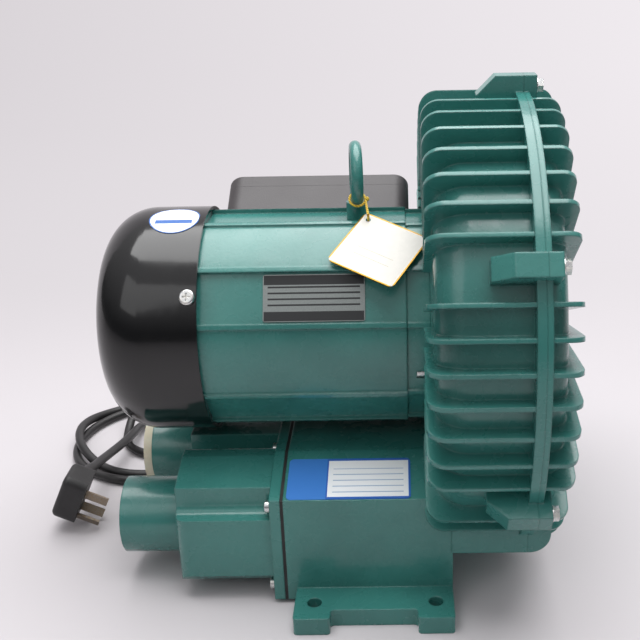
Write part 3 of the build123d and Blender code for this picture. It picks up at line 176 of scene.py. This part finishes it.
def mesh_piece(name, points, faces, material, smooth=True):
    """A mesh object from points in metres."""
    mesh = bpy.data.meshes.new(name)
    mesh.from_pydata([tuple(p) for p in points], [], faces)
    mesh.validate()
    mesh.materials.append(material)
    mesh.polygons.foreach_set("use_smooth", [smooth] * len(mesh.polygons))
    piece = bpy.data.objects.new(name, mesh)
    bpy.context.scene.collection.objects.link(piece)
    return piece


# ---------------------------------------------------------------- finishes
def stoving_enamel(look):
    """Stoving enamel sprayed on a sand casting: glossy, with soft orange peel over the casting's skin."""
    material, tree, bsdf = new_material("stoving_enamel_on_cast_aluminium")
    patches = noise(tree, 60.0, 3.0)
    tint = blend_colours(tree, spread(tree, patches, 0.35, 0.65, 0, 1), look.enamel_deep, look.enamel)
    tree.links.new(tint, bsdf.inputs["Base Color"])
    wear = spread(tree, noise(tree, 14.0, 4.0), 0.3, 0.7, 0.20, 0.34)
    tree.links.new(wear, bsdf.inputs["Roughness"])
    shader(bsdf, IOR=1.52, Coat_Weight=0.35, Coat_Roughness=0.12)
    # peel about 3 mm across, over sand grain about 1.2 mm across
    skin = calculate(tree, "ADD", noise(tree, 3.2, 1.0),
                     calculate(tree, "MULTIPLY", noise(tree, 1.2, 2.0), 0.35))
    relief(tree, bsdf, skin, 0.10, look.casting_edge_mm)
    return material


def moulded_gloss_abs(look):
    """Polished-mould ABS: near mirror gloss with faint sink marks."""
    material, tree, bsdf = new_material("moulded_gloss_abs")
    shader(bsdf, Base_Color=linear(look.cover_black), IOR=1.5, Coat_Weight=0.15, Coat_Roughness=0.05)
    haze = spread(tree, noise(tree, 22.0, 3.0), 0.3, 0.7, 0.10, 0.19)
    tree.links.new(haze, bsdf.inputs["Roughness"])
    relief(tree, bsdf, noise(tree, 9.0, 1.0), 0.05, 0.6)
    return material


def grained_plastic(name, colour, grain_mm, rough):
    """Spark-eroded mould grain on polypropylene or ABS: dull, with a fine pebble."""
    material, tree, bsdf = new_material(name)
    shade = blend_colours(tree, spread(tree, noise(tree, 40.0), 0.3, 0.7, 0, 0.12), colour, "#6A6A6A")
    tree.links.new(shade, bsdf.inputs["Base Color"])
    shader(bsdf, Roughness=rough, IOR=1.5)
    relief(tree, bsdf, noise(tree, grain_mm, 2.0), 0.08, 0.5)
    return material


def bright_zinc():
    """Zinc plate, blue passivated: bright, with a slight bloom."""
    material, tree, bsdf = new_material("blue_passivated_zinc_plate")
    bloom = spread(tree, noise(tree, 3.0, 3.0), 0.35, 0.65, 0, 1)
    tree.links.new(blend_colours(tree, bloom, "#C9CCCE", "#E4E2DC"), bsdf.inputs["Base Color"])
    shader(bsdf, Metallic=1.0)
    tree.links.new(spread(tree, bloom, 0, 1, 0.22, 0.36), bsdf.inputs["Roughness"])
    relief(tree, bsdf, noise(tree, 0.8), 0.02, 0.25)
    return material


def bare_metal(name, colour, rough, grain_mm, depth_mm):
    """Bare metal with the marks of how its surface was made."""
    material, tree, bsdf = new_material(name)
    marks = noise(tree, grain_mm, 3.0)
    tree.links.new(blend_colours(tree, marks, colour, "#9A9A9A"), bsdf.inputs["Base Color"])
    shader(bsdf, Metallic=1.0)
    tree.links.new(spread(tree, marks, 0.3, 0.7, rough - 0.06, rough + 0.08), bsdf.inputs["Roughness"])
    relief(tree, bsdf, marks, depth_mm)
    return material


def stacked_laminations():
    """Electrical steel sheets 0.5 mm thick, drawn 1 mm thick so that they show."""
    material, tree, bsdf = new_material("stacked_electrical_steel")
    split = add(tree, "ShaderNodeSeparateXYZ", {"Vector": place(tree)})
    stripes = calculate(tree, "PINGPONG", calculate(tree, "DIVIDE", split.outputs["X"], 1.0 * MM), 0.5)
    tree.links.new(blend_colours(tree, stripes, "#4A4B4E", "#7C7D80"), bsdf.inputs["Base Color"])
    shader(bsdf, Metallic=1.0, Roughness=0.45)
    relief(tree, bsdf, stripes, 0.1)
    return material


def enamelled_copper():
    """Enamelled winding wire about 1 mm thick, varnished."""
    material, tree, bsdf = new_material("varnished_copper_wire")
    turns = add(tree, "ShaderNodeTexWave", {"Vector": place(tree)}, Distortion=2.0, Detail=1.0)
    turns.inputs["Scale"].default_value = 1 / (6.0 * MM)
    tree.links.new(blend_colours(tree, turns.outputs["Fac"], "#8A3F1C", "#C4723F"), bsdf.inputs["Base Color"])
    shader(bsdf, Metallic=0.6, Roughness=0.35, Coat_Weight=0.4)
    relief(tree, bsdf, turns.outputs["Fac"], 0.3)
    return material


def rubber(name, colour, rough, grain_mm=0.8):
    """Moulded rubber or soft cord sheath: matt, faintly mottled."""
    material, tree, bsdf = new_material(name)
    mottle = spread(tree, noise(tree, 12.0, 3.0), 0.35, 0.65, 0, 0.25)
    tree.links.new(blend_colours(tree, mottle, colour, "#3A3A3A"), bsdf.inputs["Base Color"])
    shader(bsdf, Roughness=rough, IOR=1.5)
    relief(tree, bsdf, noise(tree, grain_mm), 0.03)
    return material


def open_cell_foam():
    """Open cell polyurethane foam with pores about 1.5 mm across."""
    material, tree, bsdf = new_material("open_cell_foam")
    pores = add(tree, "ShaderNodeTexVoronoi", {"Vector": place(tree)})
    pores.inputs["Scale"].default_value = 1 / (1.5 * MM)
    # pores darker at their middle: painted shade in the hollows, with the foam's lighter grey on the struts
    # between
    shaded_pores = blend_colours(tree, pores.outputs["Distance"], "#1A1A1A", "#4A4A4A")
    tree.links.new(shaded_pores, bsdf.inputs["Base Color"])
    shader(bsdf, Roughness=0.95)
    relief(tree, bsdf, pores.outputs["Distance"], 0.6)
    return material


def unbleached_polyethylene():
    """Natural polyethylene: waxy, slightly translucent cream."""
    material, tree, bsdf = new_material("natural_polyethylene")
    tone = spread(tree, noise(tree, 9.0, 2.0), 0.3, 0.7, 0, 1)
    tree.links.new(blend_colours(tree, tone, "#D6CFB4", "#E4DEC8"), bsdf.inputs["Base Color"])
    shader(bsdf, Roughness=0.5, Subsurface_Weight=0.08, Subsurface_Scale=0.002)
    relief(tree, bsdf, noise(tree, 1.0), 0.03, 0.4)
    return material


def elastic_string():
    """Braided yellow elastic with a twist about 1.2 mm long."""
    material, tree, bsdf = new_material("braided_yellow_elastic")
    braid = add(tree, "ShaderNodeTexWave", {"Vector": place(tree)},
                Distortion=1.5, bands_direction="DIAGONAL")
    braid.inputs["Scale"].default_value = 1 / (4.0 * MM)
    tree.links.new(blend_colours(tree, braid.outputs["Fac"], "#B98E14", "#E8C63A"), bsdf.inputs["Base Color"])
    shader(bsdf, Roughness=0.7, Sheen_Weight=0.3)
    relief(tree, bsdf, braid.outputs["Fac"], 0.15)
    return material


# ---------------------------------------------------------------- printed plates
def turned_place(tree, origin_mm, turn_deg):
    """Object coordinates moved to a plate's own frame: origin in millimetres, Euler turn in degrees."""
    moved = add(tree, "ShaderNodeVectorMath", operation="SUBTRACT")
    tree.links.new(place(tree), moved.inputs[0])
    moved.inputs[1].default_value = [v * MM for v in origin_mm]
    turned = add(tree, "ShaderNodeVectorRotate", {"Vector": moved.outputs[0]},
                 rotation_type="EULER_XYZ", invert=True)
    turned.inputs["Rotation"].default_value = [math.radians(v) for v in turn_deg]
    split = add(tree, "ShaderNodeSeparateXYZ", {"Vector": turned.outputs[0]})
    return split.outputs["X"], split.outputs["Y"]


def inside(tree, value, middle_mm, half_mm):
    """1 where value lies within half of middle."""
    node = add(tree, "ShaderNodeMath", operation="COMPARE")
    tree.links.new(value, node.inputs[0])
    node.inputs[1].default_value = middle_mm * MM
    node.inputs[2].default_value = half_mm * MM
    return node.outputs[0]


def box_mask(tree, x, y, box_mm):
    """1 inside a rectangle given as middle x, middle y, half width, half height."""
    mid_x, mid_y, half_x, half_y = box_mm
    return calculate(tree, "MULTIPLY", inside(tree, x, mid_x, half_x), inside(tree, y, mid_y, half_y))


def ruled_lines(tree, x, y, box_mm, pitch_mm, line_mm):
    """Thin ruled lines, pitch apart, inside a rectangle."""
    phase = calculate(tree, "PINGPONG", calculate(tree, "ADD", y, 1.0), pitch_mm * MM / 2)
    stroke = calculate(tree, "LESS_THAN", phase, line_mm * MM / 2)
    return calculate(tree, "MULTIPLY", stroke, box_mask(tree, x, y, box_mm))


def engraved_nameplate():
    """Anodised aluminium plate with black printed bands and blank ruled fields."""
    material, tree, bsdf = new_material("printed_anodised_aluminium")
    x, y = turned_place(tree, PLATE_CENTRE_MM, PLATE_TURN_DEG)
    brush = noise(tree, 0.6, 2.0)
    metal = blend_colours(tree, brush, "#7C8281", "#999F9D")
    bands = calculate(tree, "ADD", box_mask(tree, x, y, (0, 11.5, 31.4, 3.0)),
                      box_mask(tree, x, y, (0, -11.5, 31.4, 3.0)))
    fields = ruled_lines(tree, x, y, (0, 0, 29.0, 7.6), 3.8, 1.1)
    printed = calculate(tree, "MAXIMUM", bands, fields)
    tree.links.new(blend_colours(tree, printed, metal, "#1E2022"), bsdf.inputs["Base Color"])
    tree.links.new(calculate(tree, "SUBTRACT", 1.0, printed), bsdf.inputs["Metallic"])
    shader(bsdf, Roughness=0.38)
    relief(tree, bsdf, printed, 0.03)
    return material


def laminated_label():
    """Glossy laminated paper: a blue panel at the left, a white panel with a blue edge at the right."""
    material, tree, bsdf = new_material("laminated_label_stock")
    x, y = turned_place(tree, LABEL_CENTRE_MM, LABEL_TURN_DEG)
    panel = box_mask(tree, x, y, (-28.0, 0, 13.2, 30.0))
    sheet = box_mask(tree, x, y, (12.4, 0, 26.2, 16.2))
    rows = ruled_lines(tree, x, y, (12.4, -2.0, 23.0, 11.0), 5.2, 0.7)
    colour = blend_colours(tree, sheet, "#2E62B8", "#F2F5F8")
    colour = blend_colours(tree, rows, colour, "#8EA6C8")
    colour = blend_colours(tree, panel, colour, "#3E7CCB")
    tree.links.new(colour, bsdf.inputs["Base Color"])
    shader(bsdf, Roughness=0.28, Coat_Weight=0.4, Coat_Roughness=0.1)
    relief(tree, bsdf, noise(tree, 6.0), 0.05)
    return material


def round_sticker():
    """Glossy vinyl disc: white with a plain blue band across its middle."""
    material, tree, bsdf = new_material("glossy_vinyl_sticker")
    x, y = turned_place(tree, (-127.5, -15.9, 242.0), (12.0, 0, 0))
    ring = add(tree, "ShaderNodeVectorMath", operation="LENGTH")
    joined = add(tree, "ShaderNodeCombineXYZ", {"X": x, "Y": y})
    tree.links.new(joined.outputs[0], ring.inputs[0])
    edge = calculate(tree, "GREATER_THAN", ring.outputs["Value"], 15.7 * MM)
    band = box_mask(tree, x, y, (0, -4.0, 12.0, 2.2))
    blue = calculate(tree, "MAXIMUM", edge, band)
    tree.links.new(blend_colours(tree, blue, "#E9EEF3", "#3A68B0"), bsdf.inputs["Base Color"])
    shader(bsdf, Roughness=0.25, Coat_Weight=0.4)
    relief(tree, bsdf, noise(tree, 6.0), 0.03)
    return material


def gilt_edged_card():
    """Coated card with a gilt line round its edge, and two blank ruled lines."""
    material, tree, bsdf = new_material("coated_card_with_gilt_edge")
    x, y = tag_plane(tree)
    inner = box_mask(tree, x, y, (0, 0, 22.9, 22.9))
    fibre = blend_colours(tree, noise(tree, 3.0, 3.0), "#D2CFC8", "#E0DDD6")
    colour = blend_colours(tree, inner, "#9A7420", fibre)
    rows = ruled_lines(tree, x, y, (0, -7.0, 13.0, 6.0), 6.0, 0.4)
    tree.links.new(blend_colours(tree, rows, colour, "#B9B29C"), bsdf.inputs["Base Color"])
    tree.links.new(spread(tree, inner, 0, 1, 0.25, 0.45), bsdf.inputs["Roughness"])
    tree.links.new(spread(tree, inner, 0, 1, 0.7, 0.0), bsdf.inputs["Metallic"])
    relief(tree, bsdf, noise(tree, 1.2), 0.03)
    return material


def tag_plane(tree):
    """Coordinates in the card tag's own plane."""
    first = add(tree, "ShaderNodeVectorMath", operation="SUBTRACT")
    tree.links.new(place(tree), first.inputs[0])
    first.inputs[1].default_value = (0, 0, SHAFT_HEIGHT_MM * MM)
    level = add(tree, "ShaderNodeVectorRotate", {"Vector": first.outputs[0]},
                rotation_type="X_AXIS", Angle=math.radians(TAG_FLAT_TURN_DEG))
    shifted = add(tree, "ShaderNodeVectorMath", {}, operation="SUBTRACT")
    tree.links.new(level.outputs[0], shifted.inputs[0])
    shifted.inputs[1].default_value = tuple(v * MM for v in TAG_CENTRE_MM)
    turned = add(tree, "ShaderNodeVectorRotate", {"Vector": shifted.outputs[0]},
                 rotation_type="Z_AXIS", Angle=math.radians(TAG_TURN_DEG))
    split = add(tree, "ShaderNodeSeparateXYZ", {"Vector": turned.outputs[0]})
    return split.outputs["X"], split.outputs["Y"]


# ---------------------------------------------------------------- settings
class BlowerFinish(bpy.types.PropertyGroup):
    """Colours and rounding of the blower's surfaces."""
    enamel: bpy.props.StringProperty(
        name="Enamel", description="Green enamel, sRGB hex", default="#3A7D76")
    enamel_deep: bpy.props.StringProperty(
        name="Deep enamel", description="Thicker patches of the enamel, sRGB hex", default="#32706A")
    cover_black: bpy.props.StringProperty(
        name="Fan cover", description="Black of the fan cover, sRGB hex", default="#08090B")
    box_grey: bpy.props.StringProperty(
        name="Terminal box", description="Grey of the terminal box, sRGB hex", default="#3A3638")
    casting_edge_mm: bpy.props.FloatProperty(
        name="Casting edge", description="Rounding of the castings' edges in millimetres",
        default=1.6, min=0.1, max=4)


class BlowerCord(bpy.types.PropertyGroup):
    """Sizes of the power cord."""
    diameter: bpy.props.FloatProperty(
        name="Diameter", description="Outside diameter of the cord",
        default=0.0072, subtype="DISTANCE", unit="LENGTH")
    length: bpy.props.FloatProperty(
        name="Length", description="Length from the gland to the plug",
        default=1.54, subtype="DISTANCE", unit="LENGTH")
    sheath: bpy.props.StringProperty(
        name="Sheath", description="Colour of the cord's sheath, sRGB hex", default="#1C1B1C")


class BlowerStudio(bpy.types.PropertyGroup):
    """Camera and stage."""
    lens: bpy.props.FloatProperty(
        name="Lens", description="Focal length of the camera in millimetres", default=56.25, min=20, max=200)
    tilt: bpy.props.FloatProperty(
        name="Tilt", description="Angle of the camera below the horizon",
        default=math.radians(21.35), subtype="ANGLE")
    turn: bpy.props.FloatProperty(
        name="Turn", description="Angle of the camera to the left of square on",
        default=math.radians(0.43), subtype="ANGLE")
    roll: bpy.props.FloatProperty(
        name="Roll", description="Lean of the camera to the right",
        default=math.radians(1.0), subtype="ANGLE")
    floor: bpy.props.StringProperty(
        name="Floor", description="Colour of the floor, sRGB hex", default="#C4C0C3")


# ---------------------------------------------------------------- cord
# control points in millimetres, from the gland to the loops and from the loops to the plug
LEAD_ROUTE = [(-128, 76.2, 211.5), (-151, 76.2, 211.5), (-169.5, 82, 206), (-187, 95, 189), (-200, 114, 166),
              (-207, 134, 138), (-212, 153, 108), (-216, 168, 81), (-219, 178, 57.5), (-221, 174.7, 34),
              (-223, 160.5, 14.5), (-224.5, 139, 4), (-219, 118, 4), (-203.5, 104, 4), (-184, 97.5, 4),
              (-167, 95.5, 4), (-151.5, 98.8, 4), (-139.5, 108, 4)]
TAIL_ROUTE = [(-161, 178.7, 4), (-176.6, 183.8, 4), (-192.5, 181.5, 4), (-205.5, 172.3, 4), (-213, 158.5, 5),
              (-214.5, 140, 9.5), (-213.5, 119, 14.6), (-217, 98, 16.5), (-220.5, 76, 20), (-222.5, 54, 25),
              (-223.5, 34, 29.5)]
COIL_CENTRE = (-195.0, 130.0)
# turn angle in degrees, radius and height in millimetres: the second loop passes over the first
# at the left, and the end passes over the start
COIL_LOOPS = [(-21.6, 59.7, 4), (-2, 63.8, 4), (18, 66.6, 4), (43, 67.7, 4), (90, 67.2, 4), (140, 66.2, 4),
              (180, 67.5, 4), (220, 71.2, 4), (270, 73, 4), (336, 72.6, 4), (403, 75.5, 4), (450, 74.9, 4),
              (490, 74.8, 4), (515, 73, 9), (532, 70, 12.8), (552, 66.5, 12.8), (572, 62.6, 9), (597, 61, 4),
              (640, 63, 4), (668, 64.6, 4.5), (690, 65.2, 9.5), (704, 64, 12.8), (722, 61.5, 12.8),
              (744, 58.8, 8.5), (762, 58.4, 4.2), (775, 59.4, 4)]
POINTS_PER_TURN = 18


def coil_point(angle):
    """A point of the loops at a turn angle, between the two nearest rows of the list."""
    for (a0, r0, z0), (a1, r1, z1) in zip(COIL_LOOPS, COIL_LOOPS[1:]):
        if angle <= a1:
            share = (angle - a0) / (a1 - a0)
            radius, height = r0 + (r1 - r0) * share, z0 + (z1 - z0) * share
            break
    turn = math.radians(angle)
    return COIL_CENTRE[0] + radius * math.cos(turn), COIL_CENTRE[1] + radius * math.sin(turn), height


def cord_points():
    """Every control point of the cord, in metres."""
    start, end = COIL_LOOPS[0][0], COIL_LOOPS[-1][0]
    count = round((end - start) / 360 * POINTS_PER_TURN)
    loops = [coil_point(start + (end - start) * i / count) for i in range(1, count)]
    return [Vector(p) * MM for p in LEAD_ROUTE + loops + TAIL_ROUTE]


def nurbs_line(name, points):
    """An open NURBS curve object through control points."""
    curve = bpy.data.curves.new(name, "CURVE")
    curve.dimensions = "3D"
    spline = curve.splines.new("NURBS")
    spline.points.add(len(points) - 1)
    for point, place_ in zip(spline.points, points):
        point.co = (*place_, 1.0)
    spline.order_u = 3
    spline.use_endpoint_u = True
    spline.resolution_u = 6
    piece = bpy.data.objects.new(name, curve)
    bpy.context.scene.collection.objects.link(piece)
    return piece


class BLOWER_OT_cord(bpy.types.Operator):
    """Lays the power cord from the gland, through its loops, to the plug"""
    bl_idname = "blower.cord"
    bl_label = "Power cord"

    def execute(self, context):
        settings = context.scene.blower_cord
        sheath = rubber("pvc_cord_sheath", settings.sheath, 0.42, 1.5)
        flex = nurbs_line("power_cord", cord_points())
        flex.data.bevel_depth = settings.diameter / 2
        flex.data.bevel_resolution = 5
        flex.data.materials.append(sheath)
        hang_on(flex, "housing", "cord_rubber", "cord_lead", "cord_coil", "cord_tail")
        plug_black = rubber("moulded_plug_pvc", settings.sheath, 0.5, 0.9)
        paint(plug_black, "plug_body", "plug_relief")
        paint(bare_metal("stamped_brass", "#8A6E3C", 0.36, 1.5, 0.01), "plug_pins")
        return {"FINISHED"}


# ---------------------------------------------------------------- pieces
class BLOWER_OT_castings(bpy.types.Operator):
    """Paints the blower's green castings and plates their bolts"""
    bl_idname = "blower.castings"
    bl_label = "Castings"

    def execute(self, context):
        enamel = stoving_enamel(context.scene.blower_finish)
        paint(enamel, "casing_base", "front_cover", "motor_housing", "front_shield", "silencer_housing",
              "eye_bolt")
        paint(bright_zinc(), "casing_bolts", "casing_washers", "cover_plug", "silencer_bolts",
              "fan_cover_screws", "lid_screws", "neck_bolts", "front_shield_screws", "rear_shield_screws")
        paint(rubber("nitrile_gasket", "#151515", 0.6), "silencer_gasket", "shaft_seal")
        paint(unbleached_polyethylene(), "port_ring")
        paint(open_cell_foam(), "silencer_foam")
        return {"FINISHED"}


class BLOWER_OT_motor(bpy.types.Operator):
    """Finishes the motor's working parts, bearings and windings"""
    bl_idname = "blower.motor"
    bl_label = "Motor"

    def execute(self, context):
        cast = bare_metal("sand_cast_aluminium", "#B9BBBD", 0.45, 1.6, 0.08)
        paint(cast, "impeller", "rear_shield", "rotor_cage")
        paint(bare_metal("turned_steel", "#A6A8AA", 0.3, 0.8, 0.01), "shaft", "impeller_key",
              "impeller_washer", "impeller_nut", "wave_washer", "fan_clip")
        paint(bare_metal("ground_bearing_steel", "#C4C6C8", 0.18, 0.5, 0.005), "front_bearing_outer_race",
              "front_bearing_inner_race", "front_bearing_balls", "rear_bearing_outer_race",
              "rear_bearing_inner_race", "rear_bearing_balls")
        paint(stacked_laminations(), "stator_core", "rotor_core")
        paint(enamelled_copper(), "stator_windings")
        return {"FINISHED"}


class BLOWER_OT_plastics(bpy.types.Operator):
    """Finishes the fan, its cover and the terminal box"""
    bl_idname = "blower.plastics"
    bl_label = "Fan cover and terminal box"

    def execute(self, context):
        look = context.scene.blower_finish
        paint(moulded_gloss_abs(look), "fan_cover")
        paint(grained_plastic("moulded_black_nylon", "#17181A", 1.0, 0.5), "cooling_fan", "cable_gland",
              "terminal_block")
        paint(grained_plastic("spark_grained_abs", look.box_grey, 0.9, 0.48), "terminal_box",
              "terminal_box_lid")
        paint(grained_plastic("capacitor_can_plastic", "#C9C9C4", 1.5, 0.4), "capacitor")
        return {"FINISHED"}


class BLOWER_OT_plates(bpy.types.Operator):
    """Finishes the nameplate, the labels, the card tag and its string"""
    bl_idname = "blower.plates"
    bl_label = "Plates and tag"

    def execute(self, context):
        paint(engraved_nameplate(), "nameplate")
        paint(laminated_label(), "base_label")
        paint(round_sticker(), "fan_cover_sticker")
        paint(gilt_edged_card(), "hang_tag")
        paint(elastic_string(), "tag_string")
        return {"FINISHED"}


# ---------------------------------------------------------------- stage
def area_lamp(name, at, aim, size, watts):
    """A soft square lamp at a point in metres, aimed at another."""
    data = bpy.data.lights.new(name, "AREA")
    data.shape = "RECTANGLE"
    data.size, data.size_y = size
    data.energy = watts
    lamp = bpy.data.objects.new(name, data)
    bpy.context.scene.collection.objects.link(lamp)
    lamp.location = at
    lamp.rotation_euler = (Vector(aim) - Vector(at)).to_track_quat("-Z", "Y").to_euler()
    return lamp


def studio_floor(colour):
    """Paper that takes shadows near the object; farther back it glows, to camera, glossy and transmission
    rays, with painted light, darker at the left and brighter at the right.
    """
    material, tree, bsdf = new_material("seamless_paper_floor")
    bsdf.inputs["Base Color"].default_value = linear(colour)
    shader(bsdf, Roughness=PAPER_ROUGHNESS)
    split = add(tree, "ShaderNodeSeparateXYZ", {"Vector": place(tree)})
    # painted light: the glow is darker at the left and brighter at the right, standing in for how the lamps
    # fall off
    across = spread(tree, split.outputs["X"], *PAPER_PAINTED_LIGHT_X, 0, 1)
    tone = blend_colours(tree, across, *PAPER_PAINTED_LIGHT)
    glow = add(tree, "ShaderNodeEmission", {"Color": tone}, Strength=1.0)
    path = add(tree, "ShaderNodeLightPath")
    seen = calculate(tree, "MAXIMUM", path.outputs["Is Camera Ray"], path.outputs["Is Glossy Ray"])
    seen = calculate(tree, "MAXIMUM", seen, path.outputs["Is Transmission Ray"])
    far = add(tree, "ShaderNodeMapRange", {"Value": split.outputs["Y"]}, interpolation_type="SMOOTHSTEP")
    for i, value in enumerate((*PAPER_FADE_Y, 0, 1)):
        far.inputs[i + 1].default_value = value
    mix = add(tree, "ShaderNodeMixShader")
    tree.links.new(calculate(tree, "MULTIPLY", seen, far.outputs["Result"]), mix.inputs[0])
    tree.links.new(bsdf.outputs[0], mix.inputs[1])
    tree.links.new(glow.outputs[0], mix.inputs[2])
    tree.links.new(mix.outputs[0], tree.nodes["Material Output"].inputs["Surface"])
    return material


def studio_air():
    """A room that is bright overhead and dim at the level of the camera."""
    world = bpy.data.worlds.new("studio_air")
    world.use_nodes = True
    tree = world.node_tree
    direction = add(tree, "ShaderNodeTexCoord").outputs["Generated"]
    split = add(tree, "ShaderNodeSeparateXYZ", {"Vector": direction})
    strength = spread(tree, split.outputs["Z"], *AIR_HEIGHTS, *AIR_STRENGTHS)
    background = tree.nodes["Background"]
    background.inputs["Color"].default_value = linear(AIR_COLOUR)
    tree.links.new(strength, background.inputs["Strength"])
    return world


class BLOWER_OT_stage(bpy.types.Operator):
    """Builds the floor, the backdrop, the lamps and the camera"""
    bl_idname = "blower.stage"
    bl_label = "Stage"

    def execute(self, context):
        settings = context.scene.blower_studio
        paper = studio_floor(settings.floor)
        points = [(x, y, z) for y, z in PAPER_SWEEP for x in (-PAPER_HALF_WIDTH, PAPER_HALF_WIDTH)]
        faces = [(2 * i, 2 * i + 1, 2 * i + 3, 2 * i + 2) for i in range(len(PAPER_SWEEP) - 1)]
        floor = mesh_piece("floor", points, faces, paper)
        camera = bpy.data.objects.new("camera", bpy.data.cameras.new("camera"))
        context.scene.collection.objects.link(camera)
        camera.location = CAMERA_AT
        level = Euler((math.radians(90) - settings.tilt, 0, settings.turn)).to_matrix()
        camera.rotation_euler = (level @ Matrix.Rotation(-settings.roll, 3, "Z")).to_euler()
        camera.data.lens = settings.lens
        camera.data.sensor_width = SENSOR_WIDTH_MM
        camera.data.shift_x = CAMERA_SHIFT_X
        camera.data.clip_start = CAMERA_CLIP_START
        context.scene.camera = camera
        context.scene.world = studio_air()
        for lamp in LAMPS:
            area_lamp(*lamp)
        context.scene.view_settings.view_transform = "Standard"
        return {"FINISHED"}


class BLOWER_PT_panel(bpy.types.Panel):
    """Lists the blower's operators and settings"""
    bl_idname = "BLOWER_PT_panel"
    bl_label = "Side channel blower"
    bl_space_type = "VIEW_3D"
    bl_region_type = "UI"
    bl_category = "Blower"

    def draw(self, context):
        for kind in OPERATORS:
            self.layout.operator(kind.bl_idname)
        for group in SETTINGS:
            values = getattr(context.scene, group)
            for name in values.bl_rna.properties.keys():
                if name not in ("rna_type", "name"):
                    self.layout.prop(values, name)


OPERATORS = (BLOWER_OT_castings, BLOWER_OT_motor, BLOWER_OT_plastics, BLOWER_OT_plates, BLOWER_OT_cord,
             BLOWER_OT_stage)
SETTINGS = {"blower_finish": BlowerFinish, "blower_cord": BlowerCord, "blower_studio": BlowerStudio}


def register():
    for kind in (*SETTINGS.values(), *OPERATORS, BLOWER_PT_panel):
        bpy.utils.register_class(kind)
    for name, kind in SETTINGS.items():
        setattr(bpy.types.Scene, name, bpy.props.PointerProperty(type=kind))


def unregister():
    for name in SETTINGS:
        delattr(bpy.types.Scene, name)
    for kind in (BLOWER_PT_panel, *reversed(OPERATORS), *reversed(tuple(SETTINGS.values()))):
        bpy.utils.unregister_class(kind)


def main():
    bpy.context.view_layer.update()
    register()
    bpy.ops.blower.castings()
    bpy.ops.blower.motor()
    bpy.ops.blower.plastics()
    bpy.ops.blower.plates()
    bpy.ops.blower.cord()
    bpy.ops.blower.stage()


if __name__ == "__main__":
    main()
